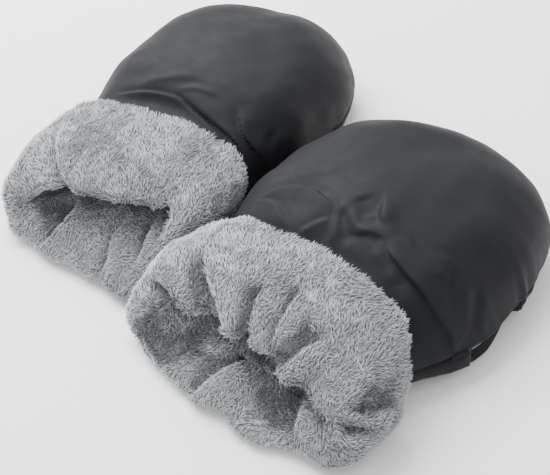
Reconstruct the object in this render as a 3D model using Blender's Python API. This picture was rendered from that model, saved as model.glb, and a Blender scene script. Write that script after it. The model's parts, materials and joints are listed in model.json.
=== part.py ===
"""A pair of stroller hand muffs, lying side by side with their plush cuffs turned out.

Each muff is a padded pouch: a dark shell, wadding and a plush lining, in a top panel and a palm
panel that meet at a side seam. The palm is cut across at the handlebar slots. Its middle is a
flap that hangs on its toe edge and closes with hook and loop tape under the wrist. The lining is
turned out over the mouth as a thick cuff.

Run with: blender --background --python part.py

Metres. Each muff has its own frame: x across, y from the mouth to the toe, z up from the table.
"""

import math
from dataclasses import dataclass

import bmesh
import bpy
from mathutils import Matrix, Vector

# Pouch in plan
POUCH_LENGTH = 0.296
NECK_HALF_WIDTH = 0.086
BULB_HALF_WIDTH = 0.106
NECK_END = 0.065
TOE_ROUNDING_START = 0.170
BULB_START = 0.152
TOE_POWER = 2.4

# Pouch in height
SEAM_HEIGHT = 0.022
NECK_SEAM_RISE = 0.0045
NECK_HEIGHT = 0.057
BULB_HEIGHT = 0.085
NECK_SHOULDER = 0.026
BULB_SHOULDER = 0.045
CROWN_SHARE = 0.3

# Where the two muffs lean on each other: lines along a muff, and the heights where this fades
PRESS_FRONT = -0.040
PRESS_MIDDLE = 0.130
PRESS_BACK = 0.220
PRESS_LOWER = 0.024
LEFT_PRESS_UPPER = 0.080
RIGHT_PRESS_UPPER = 0.054

# Where the right muff lies: how far its cuff nests beside the left one, and how far it is drawn back
CUFFS_NESTED = 0.04248
RIGHT_MUFF_Y = -0.0710
LEFT_WIDTH_SHARE = 0.93
RIGHT_WIDTH_SHARE = 1.0

# Layers of the wall, from outside to inside
SHELL = 0.0012
WADDING = 0.006
PLUSH = 0.0065
GAP = 0.0003

# Cuff: its mouth and its back edge lean towards the toe as they rise
CUFF_UNDER = 0.010
LEAN_HEIGHT = 0.030
CUFF_BACK = 0.069
CUFF_BACK_LEAN_SHARE = 0.43
CUFF_RAMP_END = 0.092
CUFF_LINING_END = 0.060
CUFF_SEAT = 0.0008
LEFT_CUFF_SIDE = 0.019
LEFT_CUFF_TOP = 0.020
LEFT_MOUTH_REACH = -0.014
LEFT_FOLD_DEPTH = 0.003
RIGHT_CUFF_SIDE = 0.0195
RIGHT_CUFF_TOP = 0.026
RIGHT_MOUTH_REACH = 0.006
RIGHT_FOLD_DEPTH = 0.006

# Handlebar slots in the side seams, and the flap between them
SLOT_START = 0.126
SLOT_END = 0.190
SLOT_OPENING = 0.018
FLAP_SWING_GAP = 0.004
TAB_OVERLAP = 0.025
TAPE = 0.001
TAPE_LENGTH = 0.088
TAPE_WIDTH = 0.018
RECESS_RUN = 0.008

# Bar tacks at the ends of the slots
MOUTH_TACK_LENGTH = 0.014
TOE_TACK_LENGTH = 0.006
TACK_HEIGHT = 0.007
TACK_THICKNESS = 0.001
TACK_SEAT = 0.0005

# Grid lines across the panels and towards the toe, as shares of the half width or the reach
TOP_COLUMN_SHARES = (0.0, 0.18, 0.37, 0.55, 0.72, 0.868, 0.966, 1.0)
PALM_COLUMN_SHARES = (0.0, 0.3, 0.55, 0.68, 0.78, 0.864, 0.936, 0.983, 1.0)
TAB_COLUMN_SHARE = 0.55
TOE_ROW_SHARES = (0.3, 0.57, 0.78, 0.93, 1.0)

# Cuff section: shares of the way from mouth to back edge, and of the cuff's or wall's thickness
CUFF_OUTER_SHARES = ((1.0, 0.5), (0.93, 0.85), (0.75, 1.0), (0.45, 1.0), (0.15, 0.72), (0.02, 0.3))
CUFF_LIP_SHARES = ((0.0, 0.25), (0.05, 0.6), (0.2, 1.0))
CUFF_FOLD_SHARES = ((0.2, 0.77), (0.45, 1.0), (0.75, 1.0), (0.91, 0.88))
CUFF_WADDING_SHARES = ((0.3, 0.84), (0.45, 1.0), (0.75, 1.0), (0.88, 0.88))
PANEL_FRONT_SHARE = 0.245
FOLD_WIDTH_SHARE = 0.13

FIELD_STEP = 0.00001
REACH_STEPS = 40
RAMP_STEPS = 3
SHARP_DEG = 50

CUFF_WIDTHS = (LEFT_WIDTH_SHARE + RIGHT_WIDTH_SHARE) * NECK_HALF_WIDTH + LEFT_CUFF_SIDE + RIGHT_CUFF_SIDE
WADDING_DEPTH = SHELL + GAP
LINING_DEPTH = WADDING_DEPTH + WADDING + GAP
WALL = LINING_DEPTH + PLUSH
LAYERS = (("shell", 0.0, SHELL), ("wadding", WADDING_DEPTH, WADDING), ("lining", LINING_DEPTH, PLUSH))
TAB_RECESS = SHELL + 2 * TAPE + 3 * GAP

COLOURS = {
    "shell": ((0.040, 0.041, 0.047), 0.42),
    "wadding": ((0.80, 0.80, 0.78), 0.95),
    "plush": ((0.33, 0.36, 0.39), 0.95),
    "hook": ((0.020, 0.020, 0.022), 0.6),
    "loop": ((0.030, 0.030, 0.033), 0.9),
    "thread": ((0.050, 0.050, 0.055), 0.6),
}


@dataclass(frozen=True)
class Muff:
    """Where one muff lies, and how its mouth is pressed into shape."""

    name: str
    place_x: float
    place_y: float
    turn_deg: float
    width_share: float
    cuff_side: float
    cuff_top: float
    mouth_reach: float
    mouth_lean_share: float
    lower_skew_share: float
    upper_skew_share: float
    fold_depth: float
    fold_shares: tuple
    inner_side: int
    press_upper: float
    press_shares: tuple


LEFT = Muff(
    name="left",
    place_x=0.0,
    place_y=0.0,
    turn_deg=-6.4,
    width_share=LEFT_WIDTH_SHARE,
    cuff_side=LEFT_CUFF_SIDE,
    cuff_top=LEFT_CUFF_TOP,
    mouth_reach=LEFT_MOUTH_REACH,
    mouth_lean_share=1.0,
    lower_skew_share=-0.17,
    upper_skew_share=0.12,
    fold_depth=LEFT_FOLD_DEPTH,
    fold_shares=(-0.8, 0.75),
    inner_side=1,
    press_upper=LEFT_PRESS_UPPER,
    press_shares=(0.36, 0.18, 0.10, 0.0),
)
RIGHT = Muff(
    name="right",
    place_x=CUFF_WIDTHS - CUFFS_NESTED,
    place_y=RIGHT_MUFF_Y,
    turn_deg=5.0,
    width_share=RIGHT_WIDTH_SHARE,
    cuff_side=RIGHT_CUFF_SIDE,
    cuff_top=RIGHT_CUFF_TOP,
    mouth_reach=RIGHT_MOUTH_REACH,
    mouth_lean_share=0.68,
    lower_skew_share=-0.05,
    upper_skew_share=0.0,
    fold_depth=RIGHT_FOLD_DEPTH,
    fold_shares=(-0.5, 0.05, 0.6),
    inner_side=-1,
    press_upper=RIGHT_PRESS_UPPER,
    press_shares=(0.0, 0.02, 0.12, 0.06),
)


def ease(value, start, end):
    """Smooth step from 0 at start to 1 at end."""
    share = min(max((value - start) / (end - start), 0.0), 1.0)
    return share * share * (3 - 2 * share)


def between(low, high, share):
    return low + (high - low) * share


class Pouch:
    """The outer surface of one muff's pouch, as heights over its plan."""

    def __init__(self, muff):
        self.muff = muff
        self.neck_half_width = NECK_HALF_WIDTH * muff.width_share
        self.bulb_half_width = BULB_HALF_WIDTH * muff.width_share

    def bulge(self, y):
        """0 on the neck, 1 where the bulb is full."""
        return ease(y, NECK_END, BULB_START)

    def side_width(self, y):
        return between(self.neck_half_width, self.bulb_half_width, self.bulge(y))

    def rim_share(self, x, y):
        """0 on the centre line, 1 on the side seam, also round the toe."""
        side = abs(x) / self.side_width(y)
        ahead = max(0.0, y - TOE_ROUNDING_START) / (POUCH_LENGTH - TOE_ROUNDING_START)
        return (side ** TOE_POWER + ahead ** TOE_POWER) ** (1 / TOE_POWER)

    def half_width(self, y):
        ahead = max(0.0, y - TOE_ROUNDING_START) / (POUCH_LENGTH - TOE_ROUNDING_START)
        return self.side_width(y) * (1 - ahead ** TOE_POWER) ** (1 / TOE_POWER)

    def under_cuff(self, y):
        """1 over the turned cuff, 0 where the pouch lies on the table."""
        return 1 - ease(y, NECK_END, CUFF_RAMP_END)

    def seam_height(self, y):
        return SEAM_HEIGHT + NECK_SEAM_RISE * self.under_cuff(y)

    def top_edge(self, y):
        return self.seam_height(y) + GAP / 2

    def palm_edge(self, y):
        return self.seam_height(y) - GAP / 2

    def top_rise(self, y):
        return between(NECK_HEIGHT, BULB_HEIGHT, self.bulge(y)) - self.top_edge(y)

    def top_flat_share(self, y):
        return 1 - between(NECK_SHOULDER, BULB_SHOULDER, self.bulge(y)) / self.side_width(y)

    def palm_flat_share(self, y):
        return 1 - (self.palm_edge(y) - CUFF_UNDER * self.under_cuff(y)) / self.side_width(y)

    def underside(self, x, y):
        """Height of the wrist's underside: over the cuff at the mouth, over the tab at the slit."""
        tab_half = TAB_COLUMN_SHARE * self.side_width(y)
        beside = ease(abs(x), tab_half, tab_half + RECESS_RUN)
        front = SLOT_START - TAB_OVERLAP - GAP
        recess = TAB_RECESS * (1 - beside) * ease(y, front - RECESS_RUN, front)
        return max(CUFF_UNDER * self.under_cuff(y), recess)

    def press(self, y):
        """How much of the half width the other muff takes away, low down."""
        lines = (PRESS_FRONT, NECK_END, PRESS_MIDDLE, PRESS_BACK)
        shares = self.muff.press_shares
        if not lines[0] < y < lines[-1]:
            return shares[0] if y <= lines[0] else shares[-1]
        for start, end, low, high in zip(lines, lines[1:], shares, shares[1:]):
            if y <= end:
                return between(low, high, (y - start) / (end - start))

    def settle(self, point):
        """Moves a point aside where the other muff presses, up to the height where this fades."""
        if point.x * self.muff.inner_side <= 0:
            return point
        narrowing = self.press(point.y) * (1 - ease(point.z, PRESS_LOWER, self.muff.press_upper))
        return Vector((point.x * (1 - narrowing), point.y, point.z))


class TopPanel:
    """The crowned upper side of a pouch."""

    column_shares = TOP_COLUMN_SHARES

    def __init__(self, pouch):
        self.pouch = pouch

    def height(self, x, y):
        share = self.pouch.rim_share(x, y)
        flat = self.pouch.top_flat_share(y)
        out = min(max(0.0, (share - flat) / (1 - flat)), 1.0)
        rise = CROWN_SHARE * (1 - share ** 2) + (1 - CROWN_SHARE) * math.sqrt(1 - out ** 2)
        return self.pouch.top_edge(y) + self.pouch.top_rise(y) * rise

    def field(self, x, y, z):
        """0 on the surface and growing outwards."""
        share = self.pouch.rim_share(x, y)
        flat = self.pouch.top_flat_share(y)
        out = max(0.0, (share - flat) / (1 - flat))
        risen = (z - self.pouch.top_edge(y)) / self.pouch.top_rise(y)
        up = (risen - CROWN_SHARE * (1 - share ** 2)) / (1 - CROWN_SHARE)
        return out ** 2 + up ** 2


class PalmPanel:
    """The flat lower side of a pouch, with sides rounded up to the seam."""

    column_shares = PALM_COLUMN_SHARES

    def __init__(self, pouch, over_tab):
        self.pouch = pouch
        self.over_tab = over_tab

    def depth(self, x, y):
        base = self.pouch.underside(x, y) if self.over_tab else 0.0
        return self.pouch.palm_edge(y) - base

    def height(self, x, y):
        flat = self.pouch.palm_flat_share(y)
        out = min(max(0.0, (self.pouch.rim_share(x, y) - flat) / (1 - flat)), 1.0)
        return self.pouch.palm_edge(y) - self.depth(x, y) * math.sqrt(1 - out ** 2)

    def field(self, x, y, z):
        flat = self.pouch.palm_flat_share(y)
        out = max(0.0, (self.pouch.rim_share(x, y) - flat) / (1 - flat))
        down = (self.pouch.palm_edge(y) - z) / self.depth(x, y)
        return out ** 2 + down ** 2

    def share_at(self, y, drop):
        """The share of the half width where the palm lies a drop below the seam."""
        flat = self.pouch.palm_flat_share(y)
        return between(flat, 1.0, math.sqrt(1 - (drop / self.depth(0.0, y)) ** 2))


def outward(panel, point):
    """Unit normal of a panel at a point on it, from the slope of its field."""
    slope = Vector()
    for axis in range(3):
        step = Vector()
        step[axis] = FIELD_STEP
        slope[axis] = panel.field(*(point + step)) - panel.field(*(point - step))
    return slope.normalized()


def mirrored(shares):
    """Shares of a half width, from one side seam to the other."""
    return [-share for share in reversed(shares[1:])] + list(shares)


def straight_row(pouch, y):
    """Plan points at one y, for shares across the pouch."""
    return lambda across: (across * pouch.half_width(y), y)


def toe_row(pouch, share):
    """Plan points on a row that bends round with the toe; share 1 is the toe's outline."""

    def reach(angle):
        low, high = 0.0, 2 * POUCH_LENGTH
        for _ in range(REACH_STEPS):
            middle = (low + high) / 2
            if pouch.rim_share(middle * math.cos(angle), SLOT_END + middle * math.sin(angle)) < 1:
                low = middle
            else:
                high = middle
        return low

    def place(across):
        side = across * math.sqrt(1 - share ** 2 / 2)
        ahead = share * math.sqrt(1 - across ** 2 / 2)
        angle = math.atan2(ahead, side)
        length = math.hypot(side, ahead) * reach(angle)
        return length * math.cos(angle), SLOT_END + length * math.sin(angle)

    return place


def new_object(name, colour, points, faces, parent, pouch, origin=Vector(), smooth=True):
    """A closed mesh object of a pouch, with its faces turned outwards and its own origin."""
    shape = bmesh.new()
    corners = [shape.verts.new(pouch.settle(point) - origin) for point in points]
    for face in faces:
        shape.faces.new([corners[index] for index in face])
    bmesh.ops.recalc_face_normals(shape, faces=shape.faces)
    mesh = bpy.data.meshes.new(name)
    shape.to_mesh(mesh)
    shape.free()
    if smooth:
        mesh.shade_smooth()
        mesh.set_sharp_from_angle(angle=math.radians(SHARP_DEG))
    mesh.materials.append(material(colour))
    item = bpy.data.objects.new(name, mesh)
    item.parent = parent
    bpy.context.scene.collection.objects.link(item)
    return item


def material(colour):
    """One Principled material for each kind of cloth."""
    found = bpy.data.materials.get(colour)
    if found:
        return found
    (red, green, blue), roughness = COLOURS[colour]
    made = bpy.data.materials.new(colour)
    made.use_nodes = True
    shader = made.node_tree.nodes["Principled BSDF"]
    shader.inputs["Base Color"].default_value = (red, green, blue, 1)
    shader.inputs["Roughness"].default_value = roughness
    shader.inputs["Metallic"].default_value = 0.0
    return made


def split(a, b, c, d):
    """The two triangles of a four-sided face, always cut along the same diagonal."""
    return [(a, b, c), (a, c, d)]


def sheet_solid(outer, inner, kept):
    """Points and triangles of a closed layer between two grids, over the kept cells."""
    rows, columns = len(outer), len(outer[0])
    points, faces, numbers = [], [], {}

    def number(side, row, column):
        key = (side, row, column)
        if key not in numbers:
            numbers[key] = len(points)
            points.append((outer, inner)[side][row][column])
        return numbers[key]

    for row in range(rows - 1):
        for column in range(columns - 1):
            if not kept(row, column):
                continue
            ring = [(row, column), (row, column + 1), (row + 1, column + 1), (row + 1, column)]
            beside = [(row - 1, column), (row, column + 1), (row + 1, column), (row, column - 1)]
            for side in (0, 1):
                faces += split(*(number(side, *corner) for corner in ring))
            for start, end, (next_row, next_column) in zip(ring, ring[1:] + ring[:1], beside):
                inside = 0 <= next_row < rows - 1 and 0 <= next_column < columns - 1
                if not (inside and kept(next_row, next_column)):
                    faces += split(number(0, *start), number(0, *end), number(1, *end), number(1, *start))
    return points, faces


def layer_grids(panel, rows, shares, near, thickness):
    """The outer and inner grid of one layer, at its depths below the panel's surface."""
    outer, inner = [], []
    for row in rows:
        outer_row, inner_row = [], []
        for share in shares:
            x, y = row(share)
            point = Vector((x, y, panel.height(x, y)))
            normal = outward(panel, point)
            outer_row.append(point - normal * near)
            inner_row.append(point - normal * (near + thickness))
        outer.append(outer_row)
        inner.append(inner_row)
    return outer, inner


def add_layer(name, layer, panel, rows, shares, parent, origin=Vector(), kept=lambda row, column: True):
    """One cloth layer of a panel as an object, its origin where its parent stands."""
    kind, near, thickness = layer
    outer, inner = layer_grids(panel, rows, shares, near, thickness)
    points, faces = sheet_solid(outer, inner, kept)
    colour = "plush" if kind == "lining" else kind
    return new_object(name, colour, points, faces, parent, panel.pouch, origin)


class Cuff:
    """The plush turned out over the mouth, as a ring of sections round the neck."""

    def __init__(self, pouch):
        self.pouch = pouch
        self.muff = pouch.muff
        self.top = TopPanel(pouch)
        self.palm = PalmPanel(pouch, over_tab=True)
        top = [(self.top, share) for share in reversed(mirrored(TOP_COLUMN_SHARES))]
        palm = [(self.palm, share) for share in mirrored(PALM_COLUMN_SHARES)[1:-1]]
        self.stations = top + palm

    def base(self, panel, share, y):
        """The point of the pouch under the cuff, on the seam line at a share of 1."""
        x = share * self.pouch.half_width(y)
        height = self.pouch.seam_height(y) if abs(share) == 1 else panel.height(x, y)
        return Vector((x, y, height))

    def direction(self, panel, share):
        """The cuff's thickness direction, square to the neck."""
        if abs(share) == 1:
            return Vector((math.copysign(1.0, share), 0.0, 0.0))
        normal = outward(panel, self.base(panel, share, NECK_END / 2))
        return Vector((normal.x, 0.0, normal.z)).normalized()

    def thickness(self, direction):
        target = self.muff.cuff_top if direction.z > 0 else CUFF_UNDER
        return between(self.muff.cuff_side, target, direction.z ** 2)

    def fold(self, panel, share):
        """How far the folds of the upper lip draw the mouth in."""
        if panel is not self.top:
            return 0.0
        return sum(
            self.muff.fold_depth * math.exp(-((share - centre) / FOLD_WIDTH_SHARE) ** 2)
            for centre in self.muff.fold_shares
        )

    def mouth_y(self, x, z):
        skew = between(self.muff.lower_skew_share, self.muff.upper_skew_share, ease(z, 0.0, NECK_HEIGHT))
        return self.muff.mouth_reach + self.muff.mouth_lean_share * (z - LEAN_HEIGHT) + skew * x

    def back_y(self, z):
        return CUFF_BACK + CUFF_BACK_LEAN_SHARE * (z - LEAN_HEIGHT)

    def point(self, panel, share, along, out, draw_in=0.0):
        """A point at a share of the way from the mouth to the back edge, out from the pouch."""
        direction = self.direction(panel, share)
        neck = self.base(panel, share, 0.0)
        x = neck.x + out * direction.x
        z = neck.z + out * direction.z
        y = between(self.mouth_y(x, z), self.back_y(z), along) + draw_in
        if out <= 0:
            return Vector((x, y, z))
        return self.base(panel, share, y) + out * direction

    def plush_section(self, panel, share):
        direction = self.direction(panel, share)
        thick = self.thickness(direction)
        fold = self.fold(panel, share)
        section = [self.point(panel, share, 1.0, CUFF_SEAT)]
        for along, part in CUFF_OUTER_SHARES:
            near_mouth = along < CUFF_FOLD_SHARES[0][0]
            section.append(self.point(panel, share, along, part * thick, fold if near_mouth else 0.0))
        section += [self.point(panel, share, along, -part * WALL, fold) for along, part in CUFF_LIP_SHARES]
        neck = self.base(panel, share, 0.0)
        for out in (-WALL, PLUSH - WALL):
            end = neck + out * direction
            end.y = CUFF_LINING_END
            section.append(end)
        first = CUFF_FOLD_SHARES[0][0]
        section.append(self.point(panel, share, first, PLUSH - WALL))
        for along, part in CUFF_FOLD_SHARES:
            section.append(self.point(panel, share, along, part * thick - PLUSH))
        section.append(self.point(panel, share, CUFF_FOLD_SHARES[-1][0], CUFF_SEAT))
        return section

    def wadding_section(self, panel, share):
        thick = self.thickness(self.direction(panel, share))
        section = [self.point(panel, share, CUFF_WADDING_SHARES[-1][0], CUFF_SEAT)]
        section.append(self.point(panel, share, CUFF_WADDING_SHARES[0][0], CUFF_SEAT))
        for along, part in CUFF_WADDING_SHARES:
            section.append(self.point(panel, share, along, part * thick - PLUSH - GAP))
        return section

    def add(self, name, colour, section, parent):
        """A closed ring whose section is given at each station round the neck."""
        sections = [section(panel, share) for panel, share in self.stations]
        count = len(sections[0])
        points = [point for ring in sections for point in ring]
        faces = []
        for ring in range(len(sections)):
            following = (ring + 1) % len(sections)
            for step in range(count):
                ahead = (step + 1) % count
                faces += split(
                    ring * count + step,
                    ring * count + ahead,
                    following * count + ahead,
                    following * count + step,
                )
        return new_object(name, colour, points, faces, parent, self.pouch)

    def front_row(self, panel):
        """Plan points of a panel's front edge, held in the fold of the cuff."""

        def place(share):
            neck = self.base(panel, share, 0.0)
            inside = neck + (PLUSH - WALL) * self.direction(panel, share)
            starts = [
                between(self.mouth_y(point.x, point.z), self.back_y(point.z), PANEL_FRONT_SHARE)
                for point in (neck, inside)
            ]
            return share * self.pouch.half_width(max(starts)), max(starts)

        return place


def box(name, colour, size, place, parent, pouch, origin=Vector(), turn=0.0):
    """A block of the given size, turned about its own upright axis."""
    shape = bmesh.new()
    bmesh.ops.create_cube(shape, size=1.0)
    bmesh.ops.scale(shape, vec=size, verts=shape.verts)
    bmesh.ops.transform(shape, matrix=Matrix.Rotation(turn, 4, "Z"), verts=shape.verts)
    bmesh.ops.translate(shape, vec=place, verts=shape.verts)
    points = [vertex.co.copy() for vertex in shape.verts]
    faces = [[vertex.index for vertex in face.verts] for face in shape.faces]
    shape.free()
    return new_object(name, colour, points, faces, parent, pouch, origin, smooth=False)


def ramp_lines():
    """Grid lines close together where the pouch widens behind the cuff."""
    return [between(NECK_END, CUFF_RAMP_END, step / RAMP_STEPS) for step in range(RAMP_STEPS + 1)]


def first_row(layer, panel, pouch, cuff):
    """The mouth end of a layer: the lining meets the cuff's own lining, the rest sits in its fold."""
    if layer[0] == "lining":
        return straight_row(pouch, CUFF_LINING_END + GAP)
    return cuff.front_row(panel)


def add_top(muff, pouch, cuff, parent):
    """The three layers of the top panel, in one piece from the mouth to the toe."""
    panel = TopPanel(pouch)
    shares = mirrored(panel.column_shares)
    middle = ramp_lines() + [(CUFF_RAMP_END + SLOT_START) / 2, SLOT_START]
    middle += [(SLOT_START + SLOT_END) / 2, SLOT_END]
    rows = [straight_row(pouch, y) for y in middle] + [toe_row(pouch, share) for share in TOE_ROW_SHARES]
    for layer in LAYERS:
        front = first_row(layer, panel, pouch, cuff)
        add_layer(f"{muff.name}_{layer[0]}_top", layer, panel, [front] + rows, shares, parent)


def add_palm_ends(muff, pouch, cuff, parent):
    """The layers of the palm on both sides of the flap: the wrist part and the toe part."""
    wrist = PalmPanel(pouch, over_tab=True)
    toe = PalmPanel(pouch, over_tab=False)
    shares = mirrored(wrist.column_shares)
    tab_front = SLOT_START - TAB_OVERLAP - GAP
    wrist_rows = [straight_row(pouch, y) for y in ramp_lines() + [tab_front, SLOT_START]]
    toe_rows = [straight_row(pouch, SLOT_END)] + [toe_row(pouch, share) for share in TOE_ROW_SHARES]
    for layer in LAYERS:
        front = first_row(layer, wrist, pouch, cuff)
        add_layer(f"{muff.name}_{layer[0]}_palm_wrist", layer, wrist, [front] + wrist_rows, shares, parent)
        add_layer(f"{muff.name}_{layer[0]}_palm_toe", layer, toe, toe_rows, shares, parent)


def add_flap(muff, pouch, parent):
    """The flap between the slots, on an empty that stands on its hinge line."""
    panel = PalmPanel(pouch, over_tab=False)
    hinge = Vector((0.0, SLOT_END - GAP, 0.0))
    axis = bpy.data.objects.new(f"{muff.name}_flap_axis", None)
    axis.location = hinge
    axis.parent = parent
    bpy.context.scene.collection.objects.link(axis)
    shares = mirrored(panel.column_shares)

    def flap_row(y):
        edge = panel.share_at(y, SLOT_OPENING)
        return lambda share: (share * edge * pouch.half_width(y), y)

    front = SLOT_START + FLAP_SWING_GAP
    back = SLOT_END - GAP
    body_rows = [flap_row(front), flap_row((front + back) / 2), flap_row(back)]
    tab_rows = [straight_row(pouch, SLOT_START - TAB_OVERLAP), straight_row(pouch, SLOT_START)]
    tab_columns = [TAB_COLUMN_SHARE > abs(a + b) / 2 for a, b in zip(shares, shares[1:])]

    def tab_or_body(row, column):
        return row >= len(tab_rows) or tab_columns[column]

    shell, wadding, lining = LAYERS
    shell_rows = tab_rows + body_rows
    add_layer(f"{muff.name}_flap_shell", shell, panel, shell_rows, shares, axis, hinge, tab_or_body)
    add_layer(f"{muff.name}_flap_wadding", wadding, panel, body_rows, shares, axis, hinge)
    add_layer(f"{muff.name}_flap_lining", lining, panel, body_rows, shares, axis, hinge)
    size = (TAPE_LENGTH, TAPE_WIDTH, TAPE)
    centre = Vector((0.0, SLOT_START - TAB_OVERLAP / 2, SHELL + GAP + TAPE / 2))
    box(f"{muff.name}_hook_tape", "hook", size, centre, axis, pouch, hinge)
    centre.z += TAPE + GAP
    box(f"{muff.name}_loop_tape", "loop", size, centre, parent, pouch)


def add_tacks(muff, pouch, parent):
    """Bar tacks across the side seam, just beyond both ends of each slot."""
    ends = (("mouth", SLOT_START, -1, MOUTH_TACK_LENGTH), ("toe", SLOT_END, 1, TOE_TACK_LENGTH))
    panel = TopPanel(pouch)
    for side_name, side in (("inner", muff.inner_side), ("outer", -muff.inner_side)):
        for end_name, slot_end, away, length in ends:
            y = slot_end + away * length / 2
            seam = Vector((side * pouch.half_width(y), y, pouch.top_edge(y)))
            normal = outward(panel, seam)
            centre = seam + normal * (TACK_SEAT + TACK_THICKNESS / 2)
            centre.z = pouch.seam_height(y)
            size = (TACK_THICKNESS, length, TACK_HEIGHT)
            turn = math.atan2(normal.y, normal.x)
            name = f"{muff.name}_{end_name}_tack_{side_name}"
            box(name, "thread", size, centre, parent, pouch, turn=turn)


def add_muff(muff):
    """All pieces of one muff, on an empty at its place."""
    parent = bpy.data.objects.new(f"{muff.name}_muff", None)
    parent.location = (muff.place_x, muff.place_y, 0.0)
    parent.rotation_euler = (0.0, 0.0, -math.radians(muff.turn_deg))
    bpy.context.scene.collection.objects.link(parent)
    pouch = Pouch(muff)
    cuff = Cuff(pouch)
    add_top(muff, pouch, cuff, parent)
    add_palm_ends(muff, pouch, cuff, parent)
    add_flap(muff, pouch, parent)
    add_tacks(muff, pouch, parent)
    cuff.add(f"{muff.name}_plush_cuff", "plush", cuff.plush_section, parent)
    cuff.add(f"{muff.name}_cuff_wadding", "wadding", cuff.wadding_section, parent)
    return parent


def centre_on_origin(parents):
    """Moves the pair so that the middle of its footprint is at the origin."""
    bpy.context.view_layer.update()
    corners = [
        item.matrix_world @ vertex.co
        for item in bpy.context.scene.objects
        if item.type == "MESH"
        for vertex in item.data.vertices
    ]
    for axis in (0, 1):
        values = [corner[axis] for corner in corners]
        middle = (min(values) + max(values)) / 2
        for parent in parents:
            parent.location[axis] -= middle


def main():
    for item in list(bpy.data.objects):
        bpy.data.objects.remove(item, do_unlink=True)
    centre_on_origin([add_muff(muff) for muff in (LEFT, RIGHT)])


main()
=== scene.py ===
"""Looks of a pair of stroller hand muffs: satin pouches, thick plush cuffs and their stitching.

Each muff is built in its own frame, as its solids are: x across, y from the mouth to the toe, z up
from the table, in metres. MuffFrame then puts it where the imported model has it.
"""

import json
import logging
import math
from dataclasses import dataclass
from enum import Enum

import bpy
import numpy as np
from bpy.types import Collection, ID, Material, Mesh, Node, NodeSocket, NodeTree, Object, bpy_prop_collection
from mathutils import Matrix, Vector

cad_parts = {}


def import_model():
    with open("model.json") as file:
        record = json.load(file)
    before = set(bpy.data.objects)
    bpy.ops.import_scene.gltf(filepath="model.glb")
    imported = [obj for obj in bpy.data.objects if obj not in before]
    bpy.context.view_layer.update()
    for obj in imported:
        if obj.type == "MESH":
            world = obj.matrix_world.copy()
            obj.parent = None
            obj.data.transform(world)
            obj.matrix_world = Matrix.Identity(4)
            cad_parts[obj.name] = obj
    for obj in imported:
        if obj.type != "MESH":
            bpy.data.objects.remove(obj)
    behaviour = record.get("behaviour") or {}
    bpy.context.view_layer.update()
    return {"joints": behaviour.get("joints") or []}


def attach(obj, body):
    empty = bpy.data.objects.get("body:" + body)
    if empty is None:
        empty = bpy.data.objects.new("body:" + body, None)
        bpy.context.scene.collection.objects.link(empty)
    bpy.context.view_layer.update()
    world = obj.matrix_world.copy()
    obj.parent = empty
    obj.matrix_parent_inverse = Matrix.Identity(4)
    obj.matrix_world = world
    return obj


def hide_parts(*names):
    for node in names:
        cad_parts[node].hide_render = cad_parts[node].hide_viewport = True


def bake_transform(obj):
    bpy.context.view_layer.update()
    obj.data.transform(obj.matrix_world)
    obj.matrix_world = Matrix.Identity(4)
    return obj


Array = np.ndarray
Triple = tuple[float, float, float]
Lines = list[tuple[Array, Array]]
LOG = logging.getLogger("hand_muffs")
MM = 0.001
CLOTH_MAP = "cloth"
STRAND_MAP = "OFBake"
LINING_DENSITY = 130000.0


class Panel(Enum):
    """The parts of a pouch's wall."""

    TOP = "top"
    PALM_WRIST = "palm_wrist"
    PALM_TOE = "palm_toe"
    FLAP = "flap"


def ease(value: Array, start: float, end: float) -> Array:
    """Smooth step from 0 at start to 1 at end."""
    share = np.clip((value - start) / (end - start), 0.0, 1.0)
    return share * share * (3 - 2 * share)


def between(low: Array, high: Array, share: Array) -> Array:
    """The value at a share of the way from low to high."""
    return low + (high - low) * share


def unit(vectors: Array) -> Array:
    """Vectors along the last axis, each brought to a length of 1."""
    length = np.linalg.norm(vectors, axis=-1, keepdims=True)
    return vectors / np.maximum(length, 1e-12)


def ripple(points: Array, size: float, seed: int, waves: int = 14) -> Array:
    """Smooth random relief.

    Args:
        points: places, with x, y and z along the last axis.
        size: rough distance from one hill to the next.
        seed: fixes the random waves.
        waves: how many waves are added up.

    Returns:
        A height for each place, mostly from -1 to 1.
    """
    random = np.random.default_rng(seed)
    total = np.zeros(points.shape[:-1])
    for _ in range(waves):
        direction = unit(random.normal(size=3))
        length = size * random.uniform(0.7, 1.7)
        total += np.sin(points @ direction * (2 * math.pi / length) + random.uniform(0, 2 * math.pi))
    return total / math.sqrt(waves / 2)


def sample_rows(rows: Array, travelled: Array, places: Array) -> Array:
    """Reads points or directions along each row of a grid.

    Args:
        rows: the grid.
        travelled: the distance travelled along its row at each point.
        places: for each row, the distance or distances at which it is read.

    Returns:
        What lies there in each row.
    """
    read = []
    for row, steps, place in zip(rows, travelled, places):
        read.append(np.stack([np.interp(place, steps, row[:, axis]) for axis in range(3)], -1))
    return np.array(read)


def smooth_line(knots: Array, count: int) -> Array:
    """Curves through knots, one for each station.

    Args:
        knots: stations, knots and coordinates.
        count: how many evenly spaced points each curve gets.

    Returns:
        Stations, points and coordinates.
    """
    first = 2 * knots[:, :1] - knots[:, 1:2]
    last = 2 * knots[:, -1:] - knots[:, -2:-1]
    padded = np.concatenate([first, knots, last], 1)
    fine = []
    for step in range(knots.shape[1] - 1):
        a, b, c, d = (padded[:, step + shift] for shift in range(4))
        for share in np.linspace(0.0, 1.0, 12, endpoint=False):
            bend = (2 * a - 5 * b + 4 * c - d) * share**2
            twist = (3 * b - a - 3 * c + d) * share**3
            fine.append(0.5 * (2 * b + (c - a) * share + bend + twist))
    dense = np.stack([*fine, knots[:, -1]], 1)
    travelled = steps_along(dense, 1)
    return sample_rows(dense, travelled, travelled[:, -1:] * np.linspace(0.0, 1.0, count)[None])


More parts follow.
